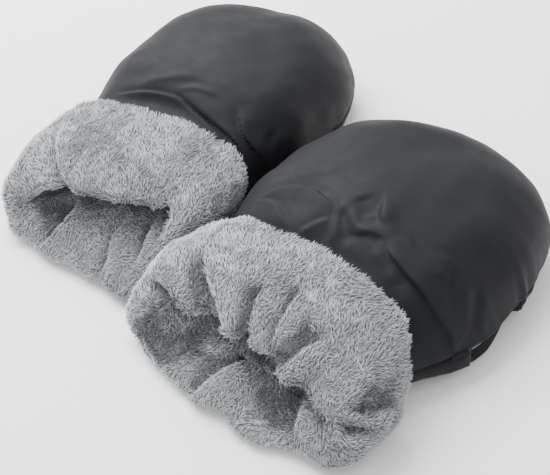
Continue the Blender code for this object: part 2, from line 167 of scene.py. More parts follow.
@dataclass(frozen=True)
class SurfaceLine:
    """A line along which the cloth is creased. Lengths are in millimetres, in the muff's frame."""

    line: tuple[Triple, ...]

    def reach(self) -> float:
        """How far from its line the crease is felt."""
        raise NotImplementedError

    def profile(self, aside: Array) -> Array:
        """How far the cloth sinks at a distance from the line, positive on its left."""
        raise NotImplementedError

    def sink(self, points: Array, normals: Array) -> Array:
        """How far the surface sinks at each point.

        Args:
            points: surface points in the muff's frame, in metres.
            normals: the surface's outward normals.

        Returns:
            The depth at each point in metres, below 0 where the cloth is raised.
        """
        knots = smooth_line(np.array(self.line, float)[None] * MM, 4 * len(self.line))[0]
        reach = self.reach() * MM
        near = ((points > knots.min(0) - reach) & (points < knots.max(0) + reach)).all(-1)
        sunk = np.zeros(points.shape[:-1])
        if not near.any():
            return sunk
        places, upright = points[near], normals[near]
        runs = np.linalg.norm(np.diff(knots, axis=0), axis=1)
        best = np.full(len(places), np.inf)
        along = np.zeros(len(places))
        side = np.ones(len(places))
        done = 0.0
        for start, end, run in zip(knots, knots[1:], runs):
            forward = (end - start) / run
            share = np.clip((places - start) @ forward / run, 0.0, 1.0)
            away = places - (start + share[:, None] * (end - start))
            gap = np.linalg.norm(away, axis=-1)
            left = np.sign(np.einsum("ij,ij->i", np.cross(forward, away), upright))
            nearer = gap < best
            best = np.where(nearer, gap, best)
            side = np.where(nearer, left, side)
            along = np.where(nearer, (done + share * run) / runs.sum(), along)
            done += run
        sunk[near] = MM * self.profile(best * side / MM) * self.fade(along)
        return sunk

    def fade(self, along: Array) -> Array:
        """How strong the crease is at each share of its length."""
        return ease(along, -0.04, 0.28) * (1 - ease(along, 0.72, 1.04))


@dataclass(frozen=True)
class Crease(SurfaceLine):
    """A valley, or with a negative depth a ridge, alike on both sides."""

    depth: float
    width: float
    shoulder_share: float = 0.0

    def reach(self) -> float:
        """How far from its line the crease is felt."""
        return 4 * self.width

    def profile(self, aside: Array) -> Array:
        """Deepest on the line, with shoulders beside it."""
        spread = np.abs(aside) / self.width
        shoulder = np.exp(-(((spread - 1.9) / 0.9) ** 2))
        return self.depth * (np.exp(-(spread**2)) - self.shoulder_share * shoulder)


@dataclass(frozen=True)
class Fold(SurfaceLine):
    """An overlap: the cloth is raised on the line's left and drops sharply to its right."""

    height: float
    spread: float = 9.0
    dip_share: float = 0.6
    dip_spread: float = 5.0
    sharp: float = 0.7
    open_end: bool = False

    def fade(self, along: Array) -> Array:
        """A fold with an open end keeps its full height there."""
        return ease(along, -0.04, 0.35) if self.open_end else super().fade(along)

    def reach(self) -> float:
        """How far from its line the fold is felt."""
        return 3.5 * max(self.spread, self.dip_spread)

    def profile(self, aside: Array) -> Array:
        """Sunk on the right, raised on the left, both fading with distance."""
        left = 0.5 + 0.5 * np.tanh(aside / self.sharp)
        raised = np.exp(-((np.maximum(aside, 0.0) / self.spread) ** 1.5))
        sunk = np.exp(-((np.maximum(-aside, 0.0) / self.dip_spread) ** 1.5))
        return self.height * (self.dip_share * sunk * (1 - left) - raised * left)


@dataclass(frozen=True)
class Push:
    """A soft push on everything near a place, as stuffing and handling leave it. In millimetres."""

    centre: Triple
    reach: Triple
    shift: Triple

    def move(self, points: Array) -> Array:
        """How far each point moves, in metres."""
        away = (points / MM - np.array(self.centre)) / np.array(self.reach)
        return np.exp(-(away**2).sum(-1))[..., None] * np.array(self.shift) * MM


@dataclass(frozen=True)
class PouchForm:
    """The plan and the heights of one pouch, as its solids have them."""

    width_share: float
    inner_side: int
    press_upper: float
    press_shares: tuple[float, float, float, float]
    pushes: tuple[Push, ...] = ()
    length: float = 0.296
    neck_half_width: float = 0.086
    bulb_half_width: float = 0.106
    neck_end: float = 0.065
    bulb_start: float = 0.152
    rounding_start: float = 0.170
    toe_power: float = 2.4
    seam_height: float = 0.022
    neck_seam_rise: float = 0.0045
    neck_height: float = 0.057
    bulb_height: float = 0.085
    neck_shoulder: float = 0.026
    bulb_shoulder: float = 0.045
    crown_share: float = 0.3
    press_lines: tuple[float, float, float, float] = (-0.040, 0.065, 0.130, 0.220)
    press_lower: float = 0.024
    ramp_end: float = 0.092
    under_cuff: float = 0.010
    slot_start: float = 0.126
    slot_end: float = 0.190
    slot_opening: float = 0.018
    swing_gap: float = 0.004
    tab_overlap: float = 0.025
    tab_share: float = 0.55
    tab_recess: float = 0.0041
    recess_run: float = 0.008
    shell: float = 0.0012
    plush: float = 0.0065
    wall: float = 0.0143
    gap: float = 0.0003

    def bulge(self, y: Array) -> Array:
        """0 on the neck, 1 where the bulb is full."""
        return ease(y, self.neck_end, self.bulb_start)

    def side_width(self, y: Array) -> Array:
        """Half width of the pouch before the toe rounds it off."""
        return self.width_share * between(self.neck_half_width, self.bulb_half_width, self.bulge(y))

    def ahead(self, y: Array) -> Array:
        """0 up to where the toe starts to round off, 1 at its tip."""
        return np.maximum(0.0, y - self.rounding_start) / (self.length - self.rounding_start)

    def rim_share(self, x: Array, y: Array) -> Array:
        """0 on the centre line, 1 on the side seam, also round the toe."""
        side = np.abs(x) / self.side_width(y)
        return (side**self.toe_power + self.ahead(y) ** self.toe_power) ** (1 / self.toe_power)

    def half_width(self, y: Array) -> Array:
        """Half width of the pouch at a distance from the mouth."""
        left = np.clip(1 - self.ahead(y) ** self.toe_power, 0.0, 1.0)
        return self.side_width(y) * left ** (1 / self.toe_power)

    def over_cuff(self, y: Array) -> Array:
        """1 over the turned cuff, 0 where the pouch lies on the table."""
        return 1 - ease(y, self.neck_end, self.ramp_end)

    def seam_at(self, y: Array) -> Array:
        """Height of the side seam."""
        return self.seam_height + self.neck_seam_rise * self.over_cuff(y)

    def shoulder(self, x: Array, y: Array, flat: Array) -> Array:
        """Height share of a rounded shoulder: 1 up to the flat share, 0 at the seam."""
        out = np.clip((self.rim_share(x, y) - flat) / (1 - flat), 0.0, 1.0)
        return np.sqrt(1 - out**2)

    def top_height(self, x: Array, y: Array) -> Array:
        """Height of the crowned upper side."""
        edge = self.seam_at(y) + self.gap / 2
        rise = between(self.neck_height, self.bulb_height, self.bulge(y)) - edge
        flat = 1 - between(self.neck_shoulder, self.bulb_shoulder, self.bulge(y)) / self.side_width(y)
        crown = self.crown_share * (1 - np.minimum(self.rim_share(x, y), 1.0) ** 2)
        return edge + rise * (crown + (1 - self.crown_share) * self.shoulder(x, y, flat))

    def palm_height(self, x: Array, y: Array, over_tab: bool) -> Array:
        """Height of the lower side; over the tab it leaves room for the tab and its tapes."""
        edge = self.seam_at(y) - self.gap / 2
        base = np.zeros(np.shape(x))
        if over_tab:
            tab_half = self.tab_share * self.side_width(y)
            beside = ease((np.abs(x) - tab_half) / self.recess_run, 0.0, 1.0)
            front = self.slot_start - self.tab_overlap - self.gap
            recess = self.tab_recess * (1 - beside) * ease(y, front - self.recess_run, front)
            base = np.maximum(self.under_cuff * self.over_cuff(y), recess)
        flat = 1 - (edge - self.under_cuff * self.over_cuff(y)) / self.side_width(y)
        return edge - (edge - base) * self.shoulder(x, y, flat)

    def flap_share(self, y: Array) -> Array:
        """How much of the palm's width the flap takes, so that a slit stays open beside it."""
        depth = self.seam_at(y) - self.gap / 2
        flat = 1 - depth / self.side_width(y)
        return between(flat, 1.0, np.sqrt(1 - (self.slot_opening / depth) ** 2))

    def reach(self, angle: Array) -> Array:
        """Distance from the toe's centre to its outline, at each angle."""
        low = np.zeros(angle.shape)
        high = np.full(angle.shape, 2 * self.length)
        for _ in range(40):
            middle = (low + high) / 2
            x = middle * np.cos(angle)
            y = self.slot_end + middle * np.sin(angle)
            inside = self.rim_share(x, y) < 1
            low = np.where(inside, middle, low)
            high = np.where(inside, high, middle)
        return low

    def toe_plan(self, share: Array, across: Array) -> tuple[Array, Array]:
        """Plan points of the toe, on rows that bend round with its outline.

        Args:
            share: 0 on the line across the slots' ends, 1 on the outline.
            across: -1 on one side seam, 1 on the other.

        Returns:
            The x and y of each point.
        """
        side = across * np.sqrt(1 - share**2 / 2)
        forward = share * np.sqrt(1 - across**2 / 2)
        angle = np.arctan2(forward, side)
        length = np.hypot(side, forward) * self.reach(angle)
        return length * np.cos(angle), self.slot_end + length * np.sin(angle)

    def settle(self, points: Array) -> Array:
        """Moves points aside where the other muff presses, and where the cloth is pushed in or out."""
        press = np.interp(points[..., 1], self.press_lines, self.press_shares)
        narrowing = press * (1 - ease(points[..., 2], self.press_lower, self.press_upper))
        inner = points[..., 0] * self.inner_side > 0
        settled = points + sum(push.move(points) for push in self.pushes)
        settled[..., 0] *= np.where(inner, 1 - narrowing, 1.0)
        return settled


@dataclass(frozen=True)
class CuffForm:
    """The turned-out mouth of one muff, as its solid has it."""

    side: float
    top: float
    mouth_reach: float
    lean_share: float
    lower_skew_share: float
    upper_skew_share: float
    fold_depth: float
    fold_shares: tuple[float, ...]
    # The base tone is how light this cuff's pile is painted, set apart for each cuff to match how light falls
    # on it; the slant paints one side of the cuff lighter and the other darker, as painted light and shade.
    tone: float
    side_painted_light: float
    under: float = 0.010
    lean_height: float = 0.030
    back: float = 0.069
    back_lean_share: float = 0.43
    lining_end: float = 0.060
    seat: float = 0.0008
    panel_front_share: float = 0.5
    fold_width_share: float = 0.13
    outer_shares: tuple = ((1.0, 0.55), (0.93, 0.87), (0.75, 1.0), (0.45, 1.0), (0.15, 0.72), (0.02, 0.3))
    lip_shares: tuple = ((0.0, 0.25), (0.05, 0.6), (0.2, 1.0))

    def along_y(self, x: Array, z: Array, share: float, pouch: PouchForm) -> Array:
        """The y at a share of the way from the mouth to the cuff's back edge."""
        skew = between(self.lower_skew_share, self.upper_skew_share, ease(z, 0.0, pouch.neck_height))
        mouth = self.mouth_reach + self.lean_share * (z - self.lean_height) + skew * x
        back = self.back + self.back_lean_share * (z - self.lean_height)
        return between(mouth, back, share)


@dataclass(frozen=True)
class MuffForm:
    """One muff: its pouch, its cuff, and the creases that lie in their cloth."""

    name: str
    pouch: PouchForm
    cuff: CuffForm
    shell_creases: tuple[SurfaceLine, ...]
    cuff_creases: tuple[SurfaceLine, ...]
    seed: int


# After its line a Fold gives its height, spread, dip share, dip spread and sharpness, and a Crease its
# depth, width and shoulder share.
LEFT_MUFF = MuffForm(
    name="left",
    pouch=PouchForm(
        width_share=0.93,
        inner_side=1,
        press_upper=0.080,
        press_shares=(0.36, 0.18, 0.10, 0.0),
        pushes=(
            Push((60, 262, 45), (55, 55, 60), (2, 4, 0)),
            Push((-92, 180, 45), (36, 70, 60), (5, 0, 0)),
            Push((50, 12, 44), (24, 22, 13), (0, 6, 7)),
            Push((-68, 0, 42), (13, 24, 13), (0, -3, -8)),
            Push((-66, -4, 20), (15, 22, 10), (0, 0, 5)),
            Push((60, 2, 26), (13, 26, 12), (-2, 0, 6)),
        ),
    ),
    cuff=CuffForm(
        side=0.019, top=0.020, mouth_reach=-0.014, lean_share=1.0, lower_skew_share=-0.17,
        upper_skew_share=0.12, fold_depth=0.003, fold_shares=(-0.8, 0.75), tone=0.68, side_painted_light=0.0,
    ),
    shell_creases=(
        Fold(((64, 94, 52), (41, 99, 63), (14, 107, 70), (-5, 112, 73), (-31, 110, 70), (-60, 104, 62)),
             2.4, 5.0, 0.7, 4.0, 1.2),
        Fold(((-8, 117, 74), (6, 111, 72), (30, 104, 68), (52, 100, 61), (70, 97, 48)),
             1.6, 8.0, 0.8, 4.0, 1.1),
        Fold(((44, 124, 72), (56, 109, 64), (68, 105, 53), (80, 112, 30)), 1.9, 10.0, 0.8, 7.0, 2.2),
        Crease(((74, 126, 60), (78, 118, 48), (82, 119, 31)), 2.4, 4.5, 0.3),
        Crease(((-42, 116, 71), (-17, 126, 79), (-2, 133, 80), (15, 133, 80)), -1.2, 4.5),
        Crease(((-9, 118, 75), (10, 124, 78), (28, 123, 77)), -1.0, 3.0),
        Crease(((-66, 118, 66), (-46, 122, 73), (-24, 136, 79)), 1.0, 7.0),
        Crease(((-72, 92, 50), (-56, 98, 63), (-10, 102, 72), (30, 98, 70), (58, 90, 54)), 2.5, 8.0),
    ),
    cuff_creases=(
        Fold(((-68, 45, 69), (-57, 27, 67), (-48, 15, 62), (-39, 7, 56), (-31, 3, 50), (-30, 8, 42)),
             4.6, 13.0, 1.2, 9.0, 2.0, open_end=True),
        Fold(((46, 20, 58), (53, 13, 50), (64, 9, 45), (68, 1, 40), (69, -7, 31), (66, -15, 23)),
             4.2, 13.0, 1.2, 8.0, 2.0),
        Fold(((8, 24, 25), (9, 10, 25), (12, -2, 24), (20, -17, 21), (25, -29, 16), (24, -38, 7)),
             3.8, 13.0, 1.6, 8.0, 2.2),
        Fold(((33, 35, 24), (42, 14, 25), (55, -8, 24), (58, -20, 18)), 3.2, 12.0, 1.6, 9.0, 2.2),
        Fold(((-38, 28, 25), (-37, 18, 25), (-35, -3, 24), (-37, -20, 17), (-42, -28, 9)),
             4.2, 13.0, 1.5, 11.0, 2.2),
        Crease(((-62, -6, 22), (-52, 2, 24), (-44, 9, 25), (-39, 19, 25)), 4.0, 12.0),
    ),
    seed=11,
)
RIGHT_MUFF = MuffForm(
    name="right",
    pouch=PouchForm(
        width_share=1.0,
        inner_side=-1,
        press_upper=0.054,
        press_shares=(0.0, 0.02, 0.12, 0.06),
        pushes=(
            Push((88, 262, 40), (46, 46, 60), (6, 3, 0)),
            Push((102, 142, 6), (30, 42, 16), (13, 0, 0)),
            Push((98, 75, 52), (18, 26, 18), (-6, 0, 0)),
            Push((102, 52, 5), (14, 15, 13), (9, 0, 0)),
            Push((110, 50, 24), (18, 20, 22), (-6, -1, 0)),
            Push((95, 38, 3), (16, 26, 9), (4, 0, 0)),
            Push((71, -8, 6), (17, 14, 18), (0, 6, 0)),
            Push((-28, -8, 6), (22, 15, 14), (0, -10, -3)),
            Push((27, -10, 6), (19, 15, 14), (0, -10, -3)),
            Push((-64, -2, 6), (15, 12, 14), (-2, -5, 0)),
            Push((-87, 75, 66), (22, 26, 22), (0, -5, -5)),
            Push((-100, 2, 20), (24, 28, 30), (-6, -3, 0)),
            Push((15, 68, 76), (42, 22, 30), (0, 6, 3)),
            Push((8, 26, 46), (62, 16, 14), (0, -9, -3)),
            Push((66, 24, 42), (17, 18, 12), (0, -8, -3)),
            Push((64, 8, 23), (17, 20, 11), (0, -3, 9)),
            Push((-5, 4, 18), (15, 18, 14), (0, -2, 7)),
            Push((38, 14, 24), (17, 17, 11), (0, 5, -9)),
            Push((-58, 14, 24), (34, 17, 11), (0, 5, -8)),
        ),
    ),
    cuff=CuffForm(
        side=0.0195, top=0.026, mouth_reach=0.006, lean_share=0.68, lower_skew_share=-0.05,
        upper_skew_share=0.0, fold_depth=0.006, fold_shares=(-0.5, 0.05, 0.6), tone=0.77,
        side_painted_light=-0.20,
    ),
    shell_creases=(
        Fold(((8, 158, 85), (13, 147, 84), (18, 139, 83), (23, 133, 81)), 1.8, 8.0, 1.1, 7.0, 1.2),
        Fold(((52, 128, 75), (48, 135, 78), (40, 141, 81), (30, 142, 82), (24, 146, 84), (15, 157, 85)),
             1.0, 8.0, 0.4, 7.0, 3.0),
        Crease(((13, 152, 84), (20, 143, 84), (29, 136, 81), (38, 129, 78), (47, 124, 75)), -1.0, 6.0),
        Crease(((-5, 148, 85), (5, 142, 84), (13, 137, 83)), 2.0, 8.0),
        Crease(((-5, 135, 82), (3, 130, 80), (9, 126, 79), (19, 127, 79), (28, 127, 78)), -1.5, 4.0),
        Fold(((6, 122, 77), (12, 121, 77), (19, 125, 78), (27, 127, 78), (33, 126, 77)),
             0.9, 6.0, 1.1, 6.0, 1.5),
        Crease(((-10, 133, 81), (-2, 124, 78), (5, 118, 75), (13, 115, 74)), 2.2, 5.5),
        Fold(((31, 126, 78), (39, 121, 74), (48, 118, 71), (59, 115, 68),
              (69, 113, 65), (79, 112, 58), (86, 112, 50)), 2.6, 12.0, 0.9, 7.0, 1.3),
        Fold(((77, 112, 59), (87, 112, 49), (94, 114, 40), (97, 114, 29), (100, 118, 24)),
             2.1, 9.0, 0.9, 6.0, 1.3),
        Crease(((26, 118, 74), (36, 117, 73), (47, 114, 70), (55, 107, 65)), -1.8, 5.5),
        Crease(((76, 142, 69), (82, 133, 64), (89, 124, 52)), 1.7, 4.5, 0.3),
        Crease(((92, 150, 58), (98, 140, 45), (102, 130, 30)), 1.2, 4.5, 0.3),
        Crease(((68, 146, 73), (72, 137, 70), (76, 128, 66)), -1.6, 7.0),
        Fold(((-12, 133, 80), (-25, 135, 80), (-40, 138, 79), (-60, 130, 73), (-72, 117, 64)),
             1.5, 9.0, 0.7, 5.0, 1.2),
        Fold(((-14, 141, 82), (-11, 128, 79), (-6, 116, 75), (-1, 106, 72)), 1.2, 7.0, 1.7, 7.0, 2.2),
        Fold(((-13, 123, 77), (-19, 117, 74), (-26, 106, 69)), 1.3, 6.0, 1.0, 5.0, 1.5),
        Fold(((-34, 106, 68), (-44, 112, 69), (-56, 118, 70), (-74, 117, 63)), 0.9, 6.0, 1.0, 5.0, 1.5),
        Crease(((-67, 136, 72), (-47, 152, 80), (-32, 171, 83)), -0.8, 5.0),
        Crease(((-56, 148, 77), (-34, 160, 82), (-8, 160, 85)), 0.8, 5.0),
        Crease(((-88, 80, 45), (-70, 92, 62), (-30, 98, 70), (10, 100, 73),
                (45, 98, 68), (75, 90, 54), (90, 82, 42)), 3.5, 9.0),
    ),
    cuff_creases=(
        Fold(((-94, 27, 48), (-79, 23, 53), (-67, 20, 51), (-59, 19, 46), (-58, 24, 40)),
             4.6, 12.0, 1.6, 11.0, 2.2, open_end=True),
        Fold(((-60, 50, 75), (-54, 43, 71), (-49, 38, 67), (-41, 33, 61),
              (-30, 27, 58), (-21, 22, 54), (-16, 26, 45)), 7.0, 15.0, 1.6, 22.0, 2.4, open_end=True),
        Fold(((-7, 48, 75), (-6, 43, 72), (-5, 37, 67), (-3, 32, 62), (0, 28, 56), (4, 28, 47)),
             5.5, 9.0, 1.8, 19.0, 2.4, open_end=True),
        Fold(((18, 52, 79), (16, 47, 76), (15, 41, 71), (15, 34, 66), (17, 27, 58), (19, 25, 52)),
             4.6, 10.0, 1.6, 11.0, 2.2),
        Fold(((50, 38, 68), (46, 33, 64), (42, 29, 61), (38, 25, 56), (33, 21, 51), (30, 25, 43)),
             6.0, 13.0, 1.8, 18.0, 2.4, open_end=True),
        Fold(((108, 46, 31), (106, 42, 33), (102, 30, 40), (96, 23, 43), (90, 19, 45), (80, 18, 47)),
             4.5, 10.0, 1.9, 17.0, 1.8),
        Fold(((104, 22, 28), (97, 12, 33), (89, 7, 34), (78, 12, 39)), 4.5, 10.0, 1.8, 12.0, 1.8),
        Fold(((40, 32, 25), (44, 23, 25), (49, 14, 24), (54, 6, 22), (56, -3, 17)),
             4.5, 14.0, 2.2, 22.0, 2.0),
        Fold(((-4, 38, 25), (-6, 30, 25), (-8, 16, 24), (-11, 4, 20), (-18, -5, 13), (-24, -12, 7)),
             5.0, 14.0, 2.2, 12.0, 1.8),
        Crease(((-94, -4, 16), (-80, 1, 18), (-66, 7, 21), (-50, 15, 24), (-32, 22, 25)), 6.0, 13.0),
        Crease(((-90, 2, 20), (-78, -1, 16), (-66, -3, 13), (-54, 0, 15), (-46, 8, 21)), 4.0, 8.0),
        Crease(((12, 18, 25), (25, 15, 24), (35, 12, 24), (45, 5, 21), (53, -1, 18)), 4.0, 8.0),
    ),
    seed=29,
)


@dataclass(frozen=True)
class MuffFrame:
    """Where one muff lies in the pair."""

    origin: Triple
    across: Triple

    @classmethod
    def from_joint(cls, joint: dict, pouch: PouchForm) -> "MuffFrame":
        """Reads the place from the flap's hinge, which lies across the muff at its slots' ends.

        Args:
            joint: the hinge of the muff's flap.
            pouch: the muff's pouch, which says how far the hinge is from the mouth.

        Returns:
            The muff's frame.
        """
        across = unit(np.array(joint["axis"], float))
        along = np.array([-across[1], across[0], 0.0])
        origin = np.array(joint["pos_m"], float) - (pouch.slot_end - pouch.gap) * along
        return cls(tuple(origin), tuple(across))

    def world(self, points: Array) -> Array:
        """Points of the muff's frame, in the pair's frame."""
        across = np.array(self.across)
        along = np.array([-across[1], across[0], 0.0])
        upright = np.array([0.0, 0.0, 1.0])
        return np.array(self.origin) + points @ np.array([across, along, upright])

    def turned(self, vectors: Array) -> Array:
        """Directions of the muff's frame, in the pair's frame."""
        return self.world(vectors) - np.array(self.origin)


def grid_normals(points: Array) -> Array:
    """Unit normals of a grid of points, up where x grows along rows and y from row to row."""
    quads = np.cross(points[1:, 1:] - points[:-1, :-1], points[1:, :-1] - points[:-1, 1:])
    normals = np.zeros_like(points)
    for rows in (slice(None, -1), slice(1, None)):
        for columns in (slice(None, -1), slice(1, None)):
            normals[rows, columns] += quads
    return unit(normals)


def steps_along(points: Array, axis: int) -> Array:
    """Distance travelled along a grid from its first row or column."""
    step = np.linalg.norm(np.diff(points, axis=axis), axis=-1)
    start = np.zeros_like(np.take(step, [0], axis=axis))
    return np.cumsum(np.concatenate([start, step], axis=axis), axis=axis)


@dataclass
class Border:
    """How far each point of a grid is from the grid's edge, and which edge point is nearest."""

    distance: Array
    nearest: Array

    @classmethod
    def of(cls, points: Array, first_row: bool) -> "Border":
        """Measures along the grid's lines.

        Args:
            points: the grid.
            first_row: whether the first row is an edge too, as the last row and both sides are.

        Returns:
            The distances and the nearest edge points.
        """
        down, over = steps_along(points, 0), steps_along(points, 1)
        sides = [(down[-1:] - down, points[-1:])]
        sides += [(over, points[:, :1]), (over[:, -1:] - over, points[:, -1:])]
        if first_row:
            sides.insert(0, (down, points[:1]))
        distance = np.full(points.shape[:2], np.inf)
        nearest = points.copy()
        for gap, edge in sides:
            closer = gap < distance
            distance = np.where(closer, gap, distance)
            nearest = np.where(closer[..., None], edge, nearest)
        return cls(distance, nearest)

    def roll(self, depth: float, width: float) -> Array:
        """How far a rounded edge falls away from the surface."""
        share = np.clip(1 - self.distance / width, 0.0, 1.0)
        return depth * (1 - np.sqrt(1 - share**2))


def signed_volume(points: Array, faces: Array) -> float:
    """Volume of a closed mesh of quads, below 0 where its faces point inwards."""
    a, b, c, d = (points[faces[:, corner]] for corner in range(4))
    halves = np.einsum("ij,ij->", a, np.cross(b, c)) + np.einsum("ij,ij->", a, np.cross(c, d))
    return halves / 6


def put_in_scene(name: str, data: ID) -> Object:
    """A new object for a mesh, a camera or a light, linked to the scene."""
    made = bpy.data.objects.new(name, data)
    bpy.context.scene.collection.objects.link(made)
    return made


def store(mesh: Mesh, name: str, values: Array, kind: str = "FLOAT") -> None:
    """Stores an attribute of a mesh's corners: a number for each, or a vector."""
    kept = mesh.attributes.new(name, kind, "POINT")
    kept.data.foreach_set("value" if kind == "FLOAT" else "vector", values.astype(np.float32).ravel())


def mesh_object(
    name: str, points: Array, faces: Array, finish: Material | None = None, cloth: Array | None = None,
    sharp_deg: float = 60.0,
) -> Object:
    """A smooth mesh object at the origin, with its faces turned outwards.

    Args:
        name: the object's name.
        points: its corners in the pair's frame.
        faces: four corner numbers for each face.
        finish: its material.
        cloth: flat cloth coordinates of each corner, in metres.
        sharp_deg: edges that bend more than this stay crisp.

    Returns:
        The new object.
    """
    if signed_volume(points, faces) < 0:
        faces = faces[:, ::-1]
    mesh = bpy.data.meshes.new(name)
    mesh.from_pydata(points.tolist(), [], faces.tolist())
    mesh.validate()
    mesh.shade_smooth()
    mesh.set_sharp_from_angle(angle=math.radians(sharp_deg))
    if cloth is not None:
        corners = np.zeros(len(mesh.loops), np.int32)
        mesh.loops.foreach_get("vertex_index", corners)
        layer = mesh.uv_layers.new(name=CLOTH_MAP)
        layer.uv.foreach_set("vector", cloth[corners].astype(np.float32).ravel())
    if finish:
        mesh.materials.append(finish)
    return put_in_scene(name, mesh)


def layer_faces(rows: int, columns: int) -> Array:
    """Faces of a closed layer between two grids whose corners follow each other in one list."""
    number = np.arange(rows * columns).reshape(rows, columns)
    under = number + rows * columns
    top = np.stack([number[:-1, :-1], number[:-1, 1:], number[1:, 1:], number[1:, :-1]], -1)
    base = np.stack([under[:-1, :-1], under[1:, :-1], under[1:, 1:], under[:-1, 1:]], -1)
    rims = []
    for line, below, turned in (
        (number[0], under[0], False),
        (number[-1], under[-1], True),
        (number[:, 0], under[:, 0], True),
        (number[:, -1], under[:, -1], False),
    ):
        rim = np.stack([line[:-1], below[:-1], below[1:], line[1:]], -1)
        rims.append(rim[:, ::-1] if turned else rim)
    return np.concatenate([top.reshape(-1, 4), base.reshape(-1, 4), *rims])


def ring_faces(rings: int, corners: int) -> Array:
    """Faces of a closed tube of rings that meets its own start."""
    number = np.arange(rings * corners).reshape(rings, corners)
    after = np.roll(number, -1, axis=0)
    faces = np.stack([number, np.roll(number, -1, 1), np.roll(after, -1, 1), after], -1)
    return faces.reshape(-1, 4)


def crowded(start: float, end: float, count: int) -> Array:
    """Values from start to end that crowd together towards both ends, as on a rounded rim."""
    turn = np.linspace(-math.pi / 2, math.pi / 2, count)
    return between(start, end, (np.sin(turn) + 1) / 2)


def evenly(values: Array, line: Array, count: int) -> Array:
    """Values at even distances along a line.

    Args:
        values: a value for each point of the line.
        line: the line's points.
        count: how many values to return.

    Returns:
        The values at evenly spaced places, both ends included.
    """
    travelled = steps_along(line[None], 1)[0]
    return np.interp(np.linspace(0.0, travelled[-1], count), travelled, values)


